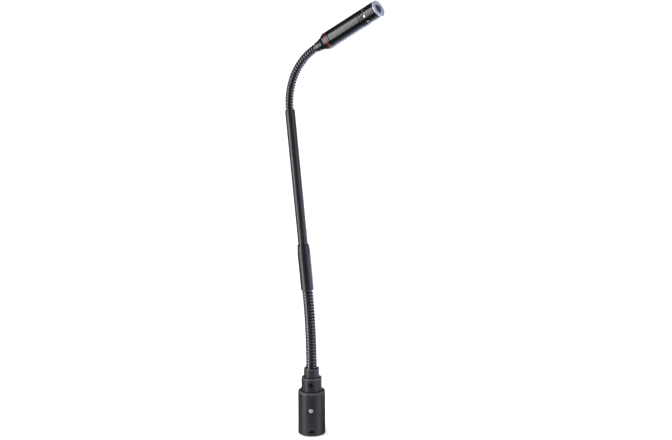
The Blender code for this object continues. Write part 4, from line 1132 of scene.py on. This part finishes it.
carried = {"contact_insert": mouldedNylon, "ground_tab": zincPlate, "base_board": boardSkin,
           "base_capacitor": mouldedPart, "tube_plug": zincPlate, "capsule": capsuleSkin,
           "capsule_seat": seatRubber, "contact_bush": mouldedNylon, "contact_plunger": goldFlash,
           "head_board": boardSkin, "head_transistor": mouldedPart, "signal_cable_base": cableJacket,
           "signal_cable_stem": cableJacket, "signal_cable_head": cableJacket}
for name, skin in carried.items():
    slots = frame["nodes"][name].material_slots
    for slot in slots:
        slot.material = skin
print("CAD pieces finished:", len(carried))


# Camera, floor and light

cameraSetup = {"azimuth": -59.0, "distance": 1.3, "height": 0.499, "yaw": -0.75, "pitch": 14.85,
               "lens": 105.27}


def buildCamera():
    side = math.radians(cameraSetup["azimuth"])
    facing = side + math.radians(cameraSetup["yaw"])
    data = bpy.data.cameras.new("camera")
    data.lens, data.sensor_width = cameraSetup["lens"], 36
    data.clip_start, data.clip_end = 0.05, 50
    camera = bpy.data.objects.new("camera", data)
    camera.location = (cameraSetup["distance"] * math.cos(side), cameraSetup["distance"] * math.sin(side),
                       cameraSetup["height"])
    camera.rotation_euler = (math.radians(90 - cameraSetup["pitch"]), 0, facing + math.radians(90))
    bpy.context.scene.collection.objects.link(camera)
    bpy.context.scene.camera = camera


def buildFloor():
    size = {"half": 12.0, "drop": 0.15 * mm, "colour": (0.88, 0.88, 0.88)}
    mesh = bpy.data.meshes.new("floor")
    half = size["half"]
    mesh.from_pydata([(-half, -half, -size["drop"]), (half, -half, -size["drop"]),
                      (half, half, -size["drop"]),
                      (-half, half, -size["drop"])], [], [(0, 1, 2, 3)])
    skin, tree, sockets = startMaterial("paleFloor", {"Roughness": 0.9, "Specular IOR Level": 0.1})
    cloud = addNode(tree, "ShaderNodeTexNoise", {"Vector": addNode(tree,
                                                                   "ShaderNodeTexCoord").outputs["Object"],
                                                 "Scale": 0.8, "Detail": 1.0})
    pale = size["colour"]
    tree.links.new(mixColour(tree, cloud.outputs[0], (*pale, 1), (*(c * 1.02 for c in pale), 1)),
                   sockets["Base Color"])
    mesh.materials.append(skin)
    floor = bpy.data.objects.new("floor", mesh)
    bpy.context.scene.collection.objects.link(floor)
    floor.visible_glossy = False


def softBox(name, place, size, power, tint=(1, 1, 1), target=(0, 0, 0.15), roll=0, spread=180):
    # a rectangle of light turned to face a point, and rolled about the line to it
    data = bpy.data.lights.new(name, "AREA")
    data.shape, data.size, data.size_y = "RECTANGLE", size[0], size[1]
    data.energy, data.color, data.spread = power, tint, math.radians(spread)
    lamp = bpy.data.objects.new(name, data)
    lamp.location = place
    facing = (Vector(target) - lamp.location).to_track_quat("-Z", "Y")
    lamp.rotation_euler = (facing @ Quaternion((0, 0, 1), math.radians(roll))).to_euler()
    lamp.visible_camera = False
    bpy.context.scene.collection.objects.link(lamp)


def buildLight():
    world = bpy.data.worlds.new("studio")
    world.use_nodes = True
    tree = world.node_tree
    back = tree.nodes["Background"]
    seen = addNode(tree, "ShaderNodeLightPath").outputs["Is Camera Ray"]
    tree.links.new(mixColour(tree, seen, (0.05, 0.052, 0.06, 1), (1, 1, 1, 1)), back.inputs["Color"])
    bpy.context.scene.world = world
    above = bpy.data.lights.new("above", "SUN")
    above.energy, above.angle = 4.2, math.radians(70)
    lamp = bpy.data.objects.new("above", above)
    lamp.visible_glossy = False
    bpy.context.scene.collection.objects.link(lamp)
    softBox("leftBox", (-0.402, -0.476, 0.175), (0.35, 0.8), 6.0, target=(0, 0, 0.175), roll=24)
    softBox("rightBox", (0.69, 0.05, 0.0), (0.52, 1.0), 3.1, tint=(0.8, 0.87, 1.0), target=(0, 0, 0.0))
    softBox("groundGlow", (0.2, 0.53, -0.01), (0.6, 0.78), 7.6, tint=(0.74, 0.82, 1.0), target=(0.2, 0.53, 1))
    softBox("nearGlow", (0.08, 0.05, -0.012), (0.24, 0.22), 0.09, tint=(0.74, 0.82, 1.0),
            target=(0.08, 0.05, 1),
            spread=110)
    bpy.context.scene.view_settings.view_transform = "Standard"


buildCamera()
buildFloor()
buildLight()
print("camera, floor and light set")
